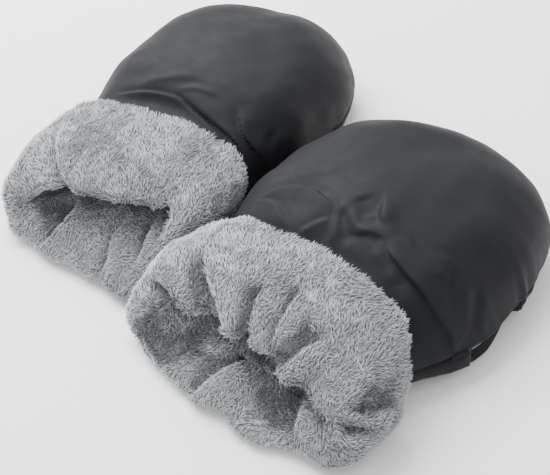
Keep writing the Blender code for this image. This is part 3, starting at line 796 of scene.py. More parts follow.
@dataclass
class PouchWall:
    """One panel of a pouch as a grid, from which its padded wall and its lining are made."""

    form: MuffForm
    frame: MuffFrame
    panel: Panel
    columns: int = 120
    neck_rows: int = 6
    step: float = 0.0022
    fine_step: float = 0.0022
    crease_zone: tuple[float, float] = (0.092, 0.168)
    toe_rows: int = 50
    even_at: float = 0.160
    roll_depth: float = 0.0022
    roll_width: float = 0.0042
    swell_depth: float = 0.0008
    swell_size: float = 0.080
    dent_depth: float = 0.0002
    dent_size: float = 0.024
    pucker_depth: float = 0.00022
    slot_pucker_depth: float = 0.0008
    slot_reach: float = 0.014
    pucker_size: float = 0.011
    pucker_run: float = 0.013
    seam_run: float = 0.003
    lining_wave: float = 0.0006
    lining_wave_size: float = 0.03
    pile_room: float = 0.0015
    lowest: float = 0.0002
    placed: Array | None = None

    def height(self, x: Array, y: Array) -> Array:
        """Height of this panel's outer surface."""
        pouch = self.form.pouch
        if self.panel is Panel.TOP:
            return pouch.top_height(x, y)
        return pouch.palm_height(x, y, self.panel is Panel.PALM_WRIST)

    def across(self) -> Array:
        """Places from one seam to the other, evenly spaced along the cloth."""
        fine = crowded(-1.0, 1.0, 2001)
        y = np.full(fine.shape, self.even_at)
        x = fine * self.form.pouch.half_width(y)
        height = self.form.pouch.top_height(x, y) if self.panel is Panel.TOP else self.height(x, y)
        return evenly(fine, np.stack([x, height], -1), self.columns)

    def toe_shares(self) -> Array:
        """Places from the slots' ends to the tip of the toe, evenly spaced along the cloth."""
        fine = np.sin(np.linspace(0.0, math.pi / 2, 2001))
        x, y = self.form.pouch.toe_plan(fine, np.zeros(fine.shape))
        return evenly(fine, np.stack([y, self.height(x, y)], -1), self.toe_rows)

    def front(self, across: Array) -> Array:
        """Where the panel's front edge lies in the fold of the cuff, for each column."""
        pouch, cuff = self.form.pouch, self.form.cuff
        x = across * pouch.half_width(0.0)
        return cuff.along_y(x, self.height(x, np.zeros(x.shape)), cuff.panel_front_share, pouch)

    def body_lines(self, start: float, end: float) -> Array:
        """The y of each straight row, close together where the cloth is creased."""
        stops = [start, *np.clip(self.crease_zone, start, end), end]
        parts = []
        for low, high, step in zip(stops, stops[1:], (self.step, self.fine_step, self.step)):
            parts.append(np.linspace(low, high, int(round((high - low) / step)), endpoint=False))
        return np.append(np.concatenate(parts), end)

    def plan(self, front_y: float | None = None) -> tuple[Array, Array]:
        """Plan points of the whole grid.

        Args:
            front_y: where the grid starts, or None to start in the fold of the cuff.

        Returns:
            The x and y of each grid point.
        """
        pouch = self.form.pouch
        across = self.across()
        if self.panel is Panel.FLAP:
            lines = self.body_lines(pouch.slot_start + pouch.swing_gap, pouch.slot_end - pouch.gap)
            y = np.repeat(lines[:, None], len(across), 1)
            return across * pouch.flap_share(y) * pouch.half_width(y), y
        blocks = []
        if self.panel is not Panel.PALM_TOE:
            end = pouch.slot_end if self.panel is Panel.TOP else pouch.slot_start
            first = pouch.neck_end if front_y is None else front_y
            body = np.repeat(self.body_lines(first, end)[:, None], len(across), 1)
            if front_y is None:
                share = np.linspace(0.0, 1.0, self.neck_rows, endpoint=False)[:, None]
                body = np.concatenate([between(self.front(across), first, share), body])
            blocks.append((across * pouch.half_width(body), body))
        if self.panel is not Panel.PALM_WRIST:
            skip = 1 if self.panel is Panel.TOP else 0
            shares, overs = np.meshgrid(self.toe_shares()[skip:], across, indexing="ij")
            blocks.append(pouch.toe_plan(shares, overs))
        return tuple(np.concatenate(parts) for parts in zip(*blocks))

    def surface(self, front_y: float | None = None) -> tuple[Array, Array]:
        """The panel's plain outer surface and its outward normals, in the muff's frame."""
        x, y = self.plan(front_y)
        points = np.stack([x, y, self.height(x, y)], -1)
        normals = grid_normals(points)
        return points, normals if self.panel is Panel.TOP else -normals

    def cloth_map(self, points: Array) -> Array:
        """Flat cloth coordinates of a grid, in metres along its rows and columns."""
        over = steps_along(points, 1)
        middle = over[:, over.shape[1] // 2][:, None]
        return np.stack([over - middle, steps_along(points, 0)], -1)

    def puckers(self, border: Border) -> Array:
        """Small gathers that run from the seam into the panel, deeper by the slots' ends.

        Args:
            border: how far each point is from the panel's edge.

        Returns:
            How far the gathers sink each point.
        """
        ends = (self.form.pouch.slot_start, self.form.pouch.slot_end)
        y = border.nearest[..., 1]
        by_slot = sum(np.exp(-(((y - end) / self.slot_reach) ** 2)) for end in ends)
        depth = self.pucker_depth + self.slot_pucker_depth * by_slot
        wave = ripple(border.nearest, self.pucker_size, self.form.seed + 3)
        fade = np.exp(-border.distance / self.pucker_run) * (1 - np.exp(-border.distance / self.seam_run))
        return depth * wave * fade

    def relief(self, points: Array, normals: Array, border: Border) -> Array:
        """How far the worn cloth sinks below the plain surface.

        Args:
            points: the plain surface, in the muff's frame.
            normals: its outward normals.
            border: how far each point is from the panel's edge.

        Returns:
            The depth at each point.
        """
        seed = self.form.seed
        sink = self.swell_depth * ripple(points, self.swell_size, seed)
        sink += self.dent_depth * ripple(points, self.dent_size, seed + 1)
        sink += self.puckers(border) + border.roll(self.roll_depth, self.roll_width)
        if self.panel is Panel.TOP:
            sink += sum(crease.sink(points, normals) for crease in self.form.shell_creases)
        return sink

    def wall_piece(self, name: str, finish: Material) -> Object:
        """The panel's cloth and wadding as one padded piece, with a name and a finish."""
        pouch = self.form.pouch
        points, normals = self.surface()
        border = Border.of(points, first_row=self.panel in (Panel.PALM_TOE, Panel.FLAP))
        outer = points - normals * self.relief(points, normals, border)[..., None]
        inner = points - normals * (pouch.wall - pouch.plush - pouch.gap)
        return self.solid(name, outer, inner, finish)

    def lining_piece(self, name: str, finish: Material) -> Object:
        """The panel's plush lining, from the cuff's own lining to the far end."""
        pouch = self.form.pouch
        points, normals = self.surface(self.form.cuff.lining_end + pouch.gap)
        outer = points - normals * (pouch.wall - pouch.plush)
        soft = self.lining_wave * ripple(points, self.lining_wave_size, self.form.seed + 5)
        inner = points - normals * (pouch.wall - self.pile_room + soft)[..., None]
        return self.solid(name, outer, inner, finish)

    def solid(self, name: str, outer: Array, inner: Array, finish: Material) -> Object:
        """A closed piece between two grids, put where the muff lies.

        Args:
            name: the piece's name.
            outer: its outer grid, in the muff's frame.
            inner: its inner grid.
            finish: its material.

        Returns:
            The new piece.
        """
        cloth = self.cloth_map(outer).reshape(-1, 2)
        both = np.stack([outer, inner])
        both[..., 2] = np.maximum(both[..., 2], self.lowest)
        self.placed = self.frame.world(self.form.pouch.settle(both))
        faces = layer_faces(*outer.shape[:2])
        return mesh_object(name, self.placed.reshape(-1, 3), faces, finish, np.tile(cloth, (2, 1)))

    def row_line(self, row_end: int, inset: float, margin: float) -> tuple[Array, Array]:
        """A line along the panel's first or last row, for a row of stitches.

        Args:
            row_end: 0 for the first row, -1 for the last.
            inset: distance in from the edge.
            margin: distance left free at both ends of the line.

        Returns:
            The line's points and the outward normals there.
        """
        outer = self.placed[0] if row_end == 0 else self.placed[0][::-1]
        places = np.full(outer.shape[1], inset)
        line = sample_rows(outer.swapaxes(0, 1), steps_along(outer, 0).T, places)
        travelled = steps_along(line[None], 1)[0]
        kept = (travelled > margin) & (travelled < travelled[-1] - margin)
        normals = grid_normals(self.placed[0])[row_end]
        normals = normals if self.panel is Panel.TOP else -normals
        return line[kept], normals[kept]

    def side_line(self, column_end: int, inset: float, rows: Array) -> tuple[Array, Array]:
        """A line along one side of the panel, for a row of stitches.

        Args:
            column_end: 0 for the first column, -1 for the last.
            inset: distance in from the edge.
            rows: whether each of the panel's rows is part of the line.

        Returns:
            The line's points and the outward normals there.
        """
        outer = self.placed[0][rows]
        normals = grid_normals(self.placed[0])[rows]
        if column_end != 0:
            outer, normals = outer[:, ::-1], normals[:, ::-1]
        over = steps_along(outer, 1)
        places = np.full(len(outer), inset)
        facing = sample_rows(normals, over, places)
        return sample_rows(outer, over, places), unit(facing if self.panel is Panel.TOP else -facing)


@dataclass
class CuffRing:
    """Stations round the neck, and points of the cuff at each of them."""

    form: MuffForm
    panel_top: Array
    across: Array
    directions: Array
    thickness: Array

    @classmethod
    def of(cls, form: MuffForm, top_count: int = 150, palm_count: int = 130) -> "CuffRing":
        """Lays out the stations: over the top from +x to -x, and back under the palm."""
        over = crowded(1.0, -1.0, top_count)
        under = crowded(-1.0, 1.0, palm_count)[1:-1]
        across = np.concatenate([over, under])
        panel_top = np.arange(len(across)) < top_count
        ring = cls(form, panel_top, across, np.zeros((len(across), 3)), np.zeros(len(across)))
        middle = ring.base(np.full(len(across), form.pouch.neck_end / 2))
        tangent = np.roll(middle, -1, 0) - np.roll(middle, 1, 0)
        ring.directions = unit(np.stack([tangent[:, 2], np.zeros(len(across)), -tangent[:, 0]], -1))
        target = np.where(ring.directions[:, 2] > 0, form.cuff.top, form.cuff.under)
        ring.thickness = between(form.cuff.side, target, ring.directions[:, 2] ** 2)
        return ring

    def base(self, y: Array) -> Array:
        """The pouch under the cuff, at a y for each station."""
        pouch = self.form.pouch
        x = self.across * pouch.half_width(y)
        height = np.where(self.panel_top, pouch.top_height(x, y), pouch.palm_height(x, y, True))
        seam = np.abs(self.across) > 1 - 1e-9
        return np.stack([x, y, np.where(seam, pouch.seam_at(y), height)], -1)

    def point(self, share: float, out: Array, folded: bool = False) -> Array:
        """Points at a share of the cuff's length, out from the pouch.

        Args:
            share: 0 at the mouth, 1 at the back edge.
            out: distance out from the pouch's surface, below 0 inside.
            folded: whether the folds of the upper lip draw the point in.

        Returns:
            A point for each station.
        """
        out = np.broadcast_to(out, self.across.shape)
        neck = self.base(np.zeros(len(self.across)))
        aside = neck + out[:, None] * self.directions
        y = self.form.cuff.along_y(aside[:, 0], aside[:, 2], share, self.form.pouch)
        if folded:
            y = y + self.folds()
        aside[:, 1] = y
        outside = self.base(y) + out[:, None] * self.directions
        return np.where((out > 0)[:, None], outside, aside)

    def folds(self) -> Array:
        """How far the folds of the upper lip draw the mouth in at each station."""
        cuff = self.form.cuff
        drawn = sum(
            np.exp(-(((self.across - centre) / cuff.fold_width_share) ** 2)) for centre in cuff.fold_shares
        )
        return np.where(self.panel_top, cuff.fold_depth * drawn, 0.0)

    def visible(self, count: int) -> Array:
        """The plush that shows: from the back edge over the roll and the lip into the mouth."""
        cuff, pouch = self.form.cuff, self.form.pouch
        line = [self.point(0.995, cuff.seat)]
        for share, part in cuff.outer_shares:
            line.append(self.point(share, part * self.thickness, share < 0.2))
        line += [self.point(share, -part * pouch.wall, True) for share, part in cuff.lip_shares]
        end = self.base(np.zeros(len(self.across))) - pouch.wall * self.directions
        end[:, 1] = cuff.lining_end
        line += [between(line[-1], end, 0.5), end]
        return smooth_line(np.stack(line, 1), count)

    def hidden(self) -> Array:
        """The rest of the ring's section, in the fold that holds the pouch's front edges."""
        cuff, pouch = self.form.cuff, self.form.pouch
        inside = pouch.plush - pouch.wall
        end = self.base(np.zeros(len(self.across))) + inside * self.directions
        end[:, 1] = cuff.lining_end
        turn = cuff.panel_front_share - 0.015
        line = [end, self.point(turn, inside), self.point(turn, cuff.seat), self.point(0.6, cuff.seat)]
        return np.stack(line, 1)


class Graph:
    """Adds nodes to a node tree, and joins them as they are added."""

    def __init__(self, tree: NodeTree) -> None:
        """Starts on an empty tree."""
        self.tree = tree
        tree.nodes.clear()

    def add(self, kind: str, inputs: dict | None = None, **settings: object) -> Node:
        """Adds a node.

        Args:
            kind: the node's type.
            inputs: socket names or numbers, each with a value or the socket that feeds it.
            settings: the node's own options.

        Returns:
            The new node.
        """
        node = self.tree.nodes.new(kind)
        for option, value in settings.items():
            setattr(node, option, value)
        for key, value in (inputs or {}).items():
            socket = self.socket(node.inputs, key)
            if isinstance(value, NodeSocket):
                self.tree.links.new(value, socket)
            else:
                socket.default_value = value
        return node

    @staticmethod
    def socket(sockets: bpy_prop_collection, key: str | int) -> NodeSocket:
        """The enabled socket with this name, or the socket with this number."""
        if isinstance(key, int):
            return sockets[key]
        return next(socket for socket in sockets if socket.name == key and socket.enabled)

    def out(self, node: Node, key: str | int = 0) -> NodeSocket:
        """An output socket of a node."""
        return self.socket(node.outputs, key)

    def math(self, operation: str, first: object, second: object = 0.0) -> NodeSocket:
        """The result of a sum."""
        return self.add("ShaderNodeMath", {0: first, 1: second}, operation=operation).outputs[0]

    def group(self, tree: NodeTree, inputs: dict) -> NodeSocket:
        """The output of a shared shader group, placed with its own inputs."""
        return self.add("ShaderNodeGroup", inputs, node_tree=tree).outputs[0]

    def attribute(self, name: str, kind: str = "FLOAT") -> NodeSocket:
        """An attribute of the geometry, read by its name."""
        node = self.add("GeometryNodeInputNamedAttribute", {"Name": name}, data_type=kind)
        return self.out(node, "Attribute")

    def random(self, low: object, high: object, seed: object, shift: int) -> NodeSocket:
        """A random number for each point, with its own fixed seed."""
        inputs = {"Min": low, "Max": high, "Seed": self.math("ADD", seed, shift)}
        return self.out(self.add("FunctionNodeRandomValue", inputs, data_type="FLOAT"), "Value")

    def upright(self, normal: NodeSocket, ahead: NodeSocket) -> NodeSocket:
        """The turn that stands a shape's z along a normal, with its x towards a direction."""
        axes = {"Primary Axis": normal, "Secondary Axis": ahead}
        return self.add("FunctionNodeAxesToRotation", axes, primary_axis="Z", secondary_axis="X").outputs[0]

    def instances(
        self, points: NodeSocket, shapes: NodeSocket, index: NodeSocket, turn: NodeSocket,
        scale: object = (1.0, 1.0, 1.0),
    ) -> NodeSocket:
        """Sets one shape of a collection on each point.

        Args:
            points: where they stand.
            shapes: the collection.
            index: the number of the shape on each point.
            turn: how the shape is turned there.
            scale: how large it is.

        Returns:
            The instances.
        """
        taken = {"Collection": shapes, "Separate Children": True, "Reset Children": True}
        kinds = self.add("GeometryNodeCollectionInfo", taken)
        inputs = {"Points": points, "Instance": kinds.outputs[0], "Pick Instance": True}
        inputs |= {"Instance Index": index, "Rotation": turn, "Scale": scale}
        return self.add("GeometryNodeInstanceOnPoints", inputs).outputs[0]


def new_group(
    name: str, sockets: tuple[tuple[str, str, str, object], ...], kind: str
) -> tuple[Graph, bpy_prop_collection]:
    """An empty node group with its sockets.

    Args:
        name: the group's name.
        sockets: name, IN or OUT, type, and default value of each socket.
        kind: ShaderNodeTree or GeometryNodeTree.

    Returns:
        A graph on the new group, and the sockets of its inputs.
    """
    tree = bpy.data.node_groups.new(name, kind)
    for label, side, socket_type, value in sockets:
        socket = tree.interface.new_socket(label, in_out=side + "PUT", socket_type="NodeSocket" + socket_type)
        if value is not None:
            socket.default_value = value
    graph = Graph(tree)
    return graph, graph.add("NodeGroupInput").outputs


def weave_group() -> NodeTree:
    """A plain weave: raised threads that cross over and under each other."""
    sockets = (
        ("Vector", "IN", "Vector", None),
        ("Pitch", "IN", "Float", 0.0005),
        ("Height", "OUT", "Float", None),
    )
    graph, given = new_group("plain_weave", sockets, "ShaderNodeTree")
    parts = graph.add("ShaderNodeSeparateXYZ", {0: given["Vector"]})
    waves = []
    for axis in range(2):
        turns = graph.math("DIVIDE", parts.outputs[axis], given["Pitch"])
        waves.append(graph.math("SINE", graph.math("MULTIPLY", turns, 2 * math.pi)))
    graph.add("NodeGroupOutput", {"Height": graph.math("MULTIPLY", *waves)})
    return graph.tree


def mottle_group() -> NodeTree:
    """Broad, faint unevenness of a cloth, for its colour, its gloss and its relief."""
    sockets = (
        ("Vector", "IN", "Vector", None),
        ("Scale", "IN", "Float", 12.0),
        ("Low", "IN", "Float", 0.0),
        ("High", "IN", "Float", 1.0),
        ("Value", "OUT", "Float", None),
    )
    graph, given = new_group("cloth_mottle", sockets, "ShaderNodeTree")
    noise = graph.add(
        "ShaderNodeTexNoise", {"Vector": given["Vector"], "Scale": given["Scale"], "Detail": 3.0}
    )
    measured = {"Value": graph.out(noise, "Fac"), "From Min": 0.3, "From Max": 0.7}
    wanted = {"To Min": given["Low"], "To Max": given["High"]}
    spread = graph.add("ShaderNodeMapRange", {**measured, **wanted})
    graph.add("NodeGroupOutput", {"Value": graph.out(spread, "Result")})
    return graph.tree


@dataclass(frozen=True)
class Finish:
    """A cloth finish: its two shades, its gloss and its sheen, the same all over."""

    name: str
    dark: Triple
    light: Triple
    rough: tuple[float, float]
    sheen: float
    sheen_rough: float = 0.5
    mottle_scale: float = 1.0
    bump: float = 0.0
    specular: float = 0.5

    def start(self) -> tuple[Material, Graph]:
        """The new material, and a graph on its empty node tree."""
        made = bpy.data.materials.new(self.name)
        made.use_nodes = True
        return made, Graph(made.node_tree)

    def shade(self, graph: Graph, value: NodeSocket) -> NodeSocket:
        """The colour between the dark and the light shade."""
        shades = {"Factor": value, "A": (*self.dark, 1.0), "B": (*self.light, 1.0)}
        return graph.out(graph.add("ShaderNodeMix", shades, data_type="RGBA"), "Result")

    def shine(self, graph: Graph, colour: NodeSocket, rough: NodeSocket, **relief: object) -> None:
        """Ends the material with its Principled shader.

        Args:
            graph: the material's graph.
            colour: what feeds its colour.
            rough: what feeds its roughness.
            relief: Height and Distance of its bump, where it has one.
        """
        inputs = {"Base Color": colour, "Roughness": rough, "Metallic": 0.0}
        inputs |= {"Specular IOR Level": self.specular}
        inputs |= {"Sheen Weight": self.sheen, "Sheen Roughness": self.sheen_rough}
        if relief:
            bump = graph.add("ShaderNodeBump", {"Strength": self.bump, **relief})
            inputs["Normal"] = bump.outputs[0]
        shader = graph.add("ShaderNodeBsdfPrincipled", inputs)
        graph.add("ShaderNodeOutputMaterial", {"Surface": shader.outputs[0]})


@dataclass(frozen=True)
class WovenFinish(Finish):
    """A woven cloth, whose threads follow its own cloth map."""

    pitch: float = 0.0006
    fine_scale: float = 9.0
    thread_relief: float = 0.1

    def build(self, groups: dict[str, NodeTree]) -> Material:
        """Makes the material.

        Args:
            groups: the shared node groups.

        Returns:
            The material.
        """
        made, graph = self.start()
        place = graph.add("ShaderNodeTexCoord").outputs["Object"]
        cloth = graph.add("ShaderNodeUVMap", uv_map=CLOTH_MAP).outputs[0]
        broad = graph.group(groups["mottle"], {"Vector": place, "Scale": self.mottle_scale})
        gloss = {"Scale": self.mottle_scale * self.fine_scale, "Low": self.rough[0], "High": self.rough[1]}
        fine = graph.group(groups["mottle"], {"Vector": place, **gloss})
        weave = graph.group(groups["weave"], {"Vector": cloth, "Pitch": self.pitch})
        colour = self.shade(graph, broad)
        self.shine(graph, colour, fine, Height=weave, Distance=self.pitch * self.thread_relief)
        return made


@dataclass(frozen=True)
class GroundFinish(Finish):
    """A knitted ground under a pile, knotted in its relief; under the plush its colour is painted dark, as
    shade between the strands.
    """

    tuft_size: float = 0.0016

    def build(self, groups: dict[str, NodeTree]) -> Material:
        """Makes the material from the shared node groups."""
        made, graph = self.start()
        place = graph.add("ShaderNodeTexCoord").outputs["Object"]
        broad = graph.group(groups["mottle"], {"Vector": place, "Scale": self.mottle_scale})
        gloss = {"Low": self.rough[0], "High": self.rough[1]}
        rough = graph.group(groups["mottle"], {"Vector": place, **gloss})
        knots = graph.add("ShaderNodeTexVoronoi", {"Vector": place, "Scale": 1 / self.tuft_size})
        colour = self.shade(graph, broad)
        self.shine(graph, colour, rough, Height=knots.outputs["Distance"], Distance=self.tuft_size / 2)
        return made


@dataclass(frozen=True)
class StrandFinish(Finish):
    """The strands of a pile: each has its own shade, painted from the ground's tone, and painted shade
    darkens it towards its root.
    """

    root_painted_shade: float = 0.42
    root_shade_end: float = 0.6

    def build(self) -> Material:
        """Makes the material, from the strands' own map: x is the strand's painted shade, y runs along it
        from the painted shade at its root.
        """
        made, graph = self.start()
        strand = graph.add("ShaderNodeUVMap", uv_map=STRAND_MAP)
        parts = graph.add("ShaderNodeSeparateXYZ", {0: strand.outputs[0]}).outputs
        # Painted shade towards each strand's root, where the pile shades itself.
        tip = {"Value": parts[1], "From Max": self.root_shade_end, "To Min": self.root_painted_shade, "To Max": 1.0}
        gloss = {"Value": parts[1], "To Min": self.rough[1], "To Max": self.rough[0]}
        lit, rough = (graph.out(graph.add("ShaderNodeMapRange", each), "Result") for each in (tip, gloss))
        tint = {"Factor": 1.0, "A": self.shade(graph, parts[0]), "B": lit}
        tinted = graph.add("ShaderNodeMix", tint, data_type="RGBA", blend_type="MULTIPLY")
        self.shine(graph, graph.out(tinted, "Result"), rough)
        return made


SHELL_CLOTH = WovenFinish(
    "charcoal_satin", dark=(0.0092, 0.0096, 0.0114), light=(0.0124, 0.0128, 0.0150),
    rough=(0.56, 0.64), sheen=0.02, mottle_scale=14.0, bump=0.2, specular=0.10,
)
# Dark is the painted shade of strands in the cuff's folds and deep in its mouth, light the painted light on
# its lobes; each strand's shade also differs at random.
PLUSH_STRANDS = StrandFinish(
    "grey_plush_strands", dark=(0.108, 0.115, 0.126), light=(0.572, 0.597, 0.625),
    rough=(0.75, 0.95), sheen=0.35, specular=0.25,
)
# Painted dark, as shade between the strands that stand on it.
PLUSH_GROUND = GroundFinish(
    "grey_plush_ground", dark=(0.17, 0.18, 0.19), light=(0.25, 0.26, 0.275),
    rough=(0.9, 1.0), sheen=0.3, sheen_rough=0.6, mottle_scale=30.0, bump=0.8, specular=0.2,
)
THREAD = WovenFinish(
    "dark_thread", dark=(0.009, 0.0093, 0.0105), light=(0.022, 0.0225, 0.025),
    rough=(0.55, 0.7), sheen=0.04, sheen_rough=0.4, mottle_scale=300.0, bump=0.4, pitch=0.0004, specular=0.2,
)
HOOK_TAPE = WovenFinish(
    "hook_tape", dark=(0.016, 0.016, 0.018), light=(0.026, 0.026, 0.028),
    rough=(0.45, 0.6), sheen=0.0, mottle_scale=60.0, bump=0.5, pitch=0.0009,
)
LOOP_TAPE = GroundFinish(
    "loop_tape", dark=(0.018, 0.018, 0.020), light=(0.036, 0.036, 0.039),
    rough=(0.8, 1.0), sheen=0.5, mottle_scale=80.0, bump=0.9, tuft_size=0.0008,
)
FLOOR = GroundFinish(
    "pale_floor", dark=(0.93, 0.93, 0.93), light=(0.96, 0.96, 0.96),
    rough=(0.8, 0.9), sheen=0.0, mottle_scale=4.0, bump=0.02, tuft_size=0.004,
)


class Finishes:
    """All materials of the pair, made once."""

    def __init__(self) -> None:
        """Builds the shared groups and every material."""
        groups = {"weave": weave_group(), "mottle": mottle_group()}
        self.shell = SHELL_CLOTH.build(groups)
        self.strands = PLUSH_STRANDS.build()
        self.ground = PLUSH_GROUND.build(groups)
        self.thread = THREAD.build(groups)
        self.hook = HOOK_TAPE.build(groups)
        self.loop = LOOP_TAPE.build(groups)
        self.floor = FLOOR.build(groups)


@dataclass(frozen=True)
class Tuft:
    """One clump of plush strands: a thin curved spike that leans over from its root."""

    length: float
    width: float
    root_lift_deg: float
    tip_lift_deg: float
    curl_deg: float
    rings: int = 3
    sides: int = 3
    steps: int = 40
    flatness: float = 0.6

    def build(self, name: str) -> Object:
        """Makes the tuft at the origin: it stands on z = 0 and leans along x.

        Args:
            name: the object's name.

        Returns:
            The object, with a narrow strand map that runs from its root to its tip.
        """
        fine = np.linspace(0.0, 1.0, self.steps)
        lift = np.radians(between(self.root_lift_deg, self.tip_lift_deg, fine**0.7))
        turn = np.radians(self.curl_deg * fine**2)
        flat = np.cos(lift)
        way = np.stack([flat * np.cos(turn), flat * np.sin(turn), np.sin(lift)], -1)
        path = np.cumsum(way * (self.length / self.steps), 0)
        path -= path[0]
        corners = []
        for share in np.linspace(0.0, 1.0, self.rings)[:-1]:
            centre = [np.interp(share, fine, path[:, axis]) for axis in range(3)]
            heading = math.radians(np.interp(share, fine, np.degrees(lift)))
            radius = self.width / 2 * (1 - share) ** 0.55
            for side in range(self.sides):
                angle = 2 * math.pi * side / self.sides + math.pi / 2
                over, up = radius * math.cos(angle), self.flatness * radius * math.sin(angle)
                corners.append(np.add(centre, (-up * math.sin(heading), over, up * math.cos(heading))))
        tip = len(corners)
        last = tip - self.sides
        faces = []
        for side in range(self.sides):
            after = (side + 1) % self.sides
            for low in range(0, last, self.sides):
                high = low + self.sides
                faces.append((low + side, high + side, high + after, low + after))
        faces += [(last + side, tip, last + (side + 1) % self.sides) for side in range(self.sides)]
        faces.append(tuple(range(self.sides)))
        mesh = bpy.data.meshes.new(name)
        mesh.from_pydata(np.array([*corners, path[-1]]).tolist(), [], faces)
        mesh.shade_smooth()
        layer = mesh.uv_layers.new(name=STRAND_MAP)
        for polygon in mesh.polygons:
            for position, loop in enumerate(polygon.loop_indices):
                ring = mesh.loops[loop].vertex_index // self.sides
                along = 0.03 + 0.94 * ring / (self.rings - 1)
                layer.uv[loop].vector = (0.02 * (position % 2), along + 0.01 * (position // 2))
        return bpy.data.objects.new(name, mesh)


TUFTS = (
    Tuft(length=0.0056, width=0.00110, root_lift_deg=66, tip_lift_deg=4, curl_deg=30),
    Tuft(length=0.0050, width=0.00100, root_lift_deg=58, tip_lift_deg=14, curl_deg=-35),
    Tuft(length=0.0058, width=0.00095, root_lift_deg=68, tip_lift_deg=-2, curl_deg=12),
    Tuft(length=0.0047, width=0.00115, root_lift_deg=72, tip_lift_deg=22, curl_deg=-14),
    Tuft(length=0.0054, width=0.00098, root_lift_deg=56, tip_lift_deg=-6, curl_deg=45),
)


class Pile:
    """Plush pile, set on a ground mesh by a node tree.

    The ground's own attributes steer it: pile thins and shortens it, lay says where it leans, and its tone
    gives each tuft its painted shade and light.
    """

    def __init__(self, finish: Material) -> None:
        """Makes the tufts and the node tree."""
        self.finish = finish
        self.tufts = bpy.data.collections.new("plush_tufts")
        for number, tuft in enumerate(TUFTS):
            self.tufts.objects.link(tuft.build(f"tuft_{number}"))
        self.tree = self.build_tree()

    def build_tree(self) -> NodeTree:
        """The node tree: points on the ground, a tuft on each, and their shades, painted from the ground's
        tone with its painted shade and light.
        """
        sockets = (
            ("Ground", "IN", "Geometry", None),
            ("Density", "IN", "Float", 500000.0),
            ("Smallest", "IN", "Float", 0.75),
            ("Largest", "IN", "Float", 1.15),
            ("Stray", "IN", "Float", 0.42),
            ("Seed", "IN", "Int", 1),
            ("Tufts", "IN", "Collection", None),
            ("Finish", "IN", "Material", None),
            ("Pile", "OUT", "Geometry", None),
        )
        graph, given = new_group("plush_pile", sockets, "GeometryNodeTree")
        thick = graph.attribute("pile")
        density = graph.math("MULTIPLY", given["Density"], thick)
        points = graph.add(
            "GeometryNodeDistributePointsOnFaces",
            {"Mesh": given["Ground"], "Density": density, "Seed": given["Seed"]},
            distribute_method="RANDOM",
        )
        upright = graph.upright(points.outputs["Normal"], graph.attribute("lay", "FLOAT_VECTOR"))
        stray = graph.math("MULTIPLY", given["Stray"], -1.0)
        angle = graph.random(stray, given["Stray"], given["Seed"], 7)
        turn = graph.add("FunctionNodeAxisAngleToRotation", {"Axis": (0, 0, 1), "Angle": angle})
        facing = graph.add(
            "FunctionNodeRotateRotation", {"Rotation": upright, "Rotate By": turn.outputs[0]},
            rotation_space="LOCAL",
        )
        size = graph.random(given["Smallest"], given["Largest"], given["Seed"], 13)
        shorter = graph.math("SQRT", graph.math("MAXIMUM", thick, 0.05))
        choice = graph.random(0.0, float(len(TUFTS)), given["Seed"], 19)
        placed = graph.instances(
            points.outputs["Points"], given["Tufts"], graph.math("FLOOR", choice), facing.outputs[0],
            graph.math("MULTIPLY", size, shorter),
        )
        # Each tuft's shade: the ground's painted shade and light, plus a random part.
        own_tone = graph.math("ADD", graph.attribute("tone"), graph.random(-0.2, 0.2, given["Seed"], 23))
        shade = graph.math("MINIMUM", graph.math("MAXIMUM", own_tone, 0.0), 0.97)
        shaded = graph.add(
            "GeometryNodeStoreNamedAttribute", {"Geometry": placed, "Name": "shade", "Value": shade},
            data_type="FLOAT", domain="INSTANCE",
        )
        real = graph.add("GeometryNodeRealizeInstances", {"Geometry": shaded.outputs[0]})
        along = graph.add("ShaderNodeSeparateXYZ", {0: graph.attribute(STRAND_MAP, "FLOAT_VECTOR")}).outputs
        own = graph.math("ADD", graph.attribute("shade"), along[0])
        strand = graph.add("ShaderNodeCombineXYZ", {0: own, 1: along[1]})
        mapped = graph.add(
            "GeometryNodeStoreNamedAttribute",
            {"Geometry": real.outputs[0], "Name": STRAND_MAP, "Value": strand.outputs[0]},
            data_type="FLOAT2", domain="CORNER",
        )
        dressed = {"Geometry": mapped.outputs[0], "Material": given["Finish"]}
        finished = graph.add("GeometryNodeSetMaterial", dressed)
        graph.add("NodeGroupOutput", {"Pile": finished.outputs[0]})
        return graph.tree

    def grow(self, name: str, ground: Object, seed: int, density: float) -> Object:
        """The pile of one stretch of ground, as a plain mesh.

        Args:
            name: the new piece's name.
            ground: a mesh with the attributes pile, tone and lay. It is removed.
            seed: fixes where the tufts stand.
            density: tufts on a square metre.

        Returns:
            The new piece.
        """
        values = {"Density": density, "Seed": seed, "Tufts": self.tufts, "Finish": self.finish}
        piece = run_nodes(name, ground, self.tree, values)
        lie_on_table(piece.data)
        return piece


def run_nodes(name: str, carrier: Object, tree: NodeTree, values: dict[str, object]) -> Object:
    """Puts a node tree on an object and keeps its result as a plain mesh.

    Args:
        name: the new piece's name.
        carrier: the object that the tree reads. It is removed.
        tree: the node tree.
        values: input names and values.

    Returns:
        The new piece.
    """
    modifier = carrier.modifiers.new("nodes", "NODES")
    modifier.node_group = tree
    for socket in tree.interface.items_tree:
        if socket.item_type == "SOCKET" and socket.in_out == "INPUT" and socket.name in values:
            modifier[socket.identifier] = values[socket.name]
    bpy.context.view_layer.update()
    graph = bpy.context.evaluated_depsgraph_get()
    seen = carrier.evaluated_get(graph)
    mesh = bpy.data.meshes.new_from_object(seen, preserve_all_data_layers=True, depsgraph=graph)
    mesh.name = name
    carrier.modifiers.remove(modifier)
    bpy.data.objects.remove(carrier)
    return put_in_scene(name, mesh)


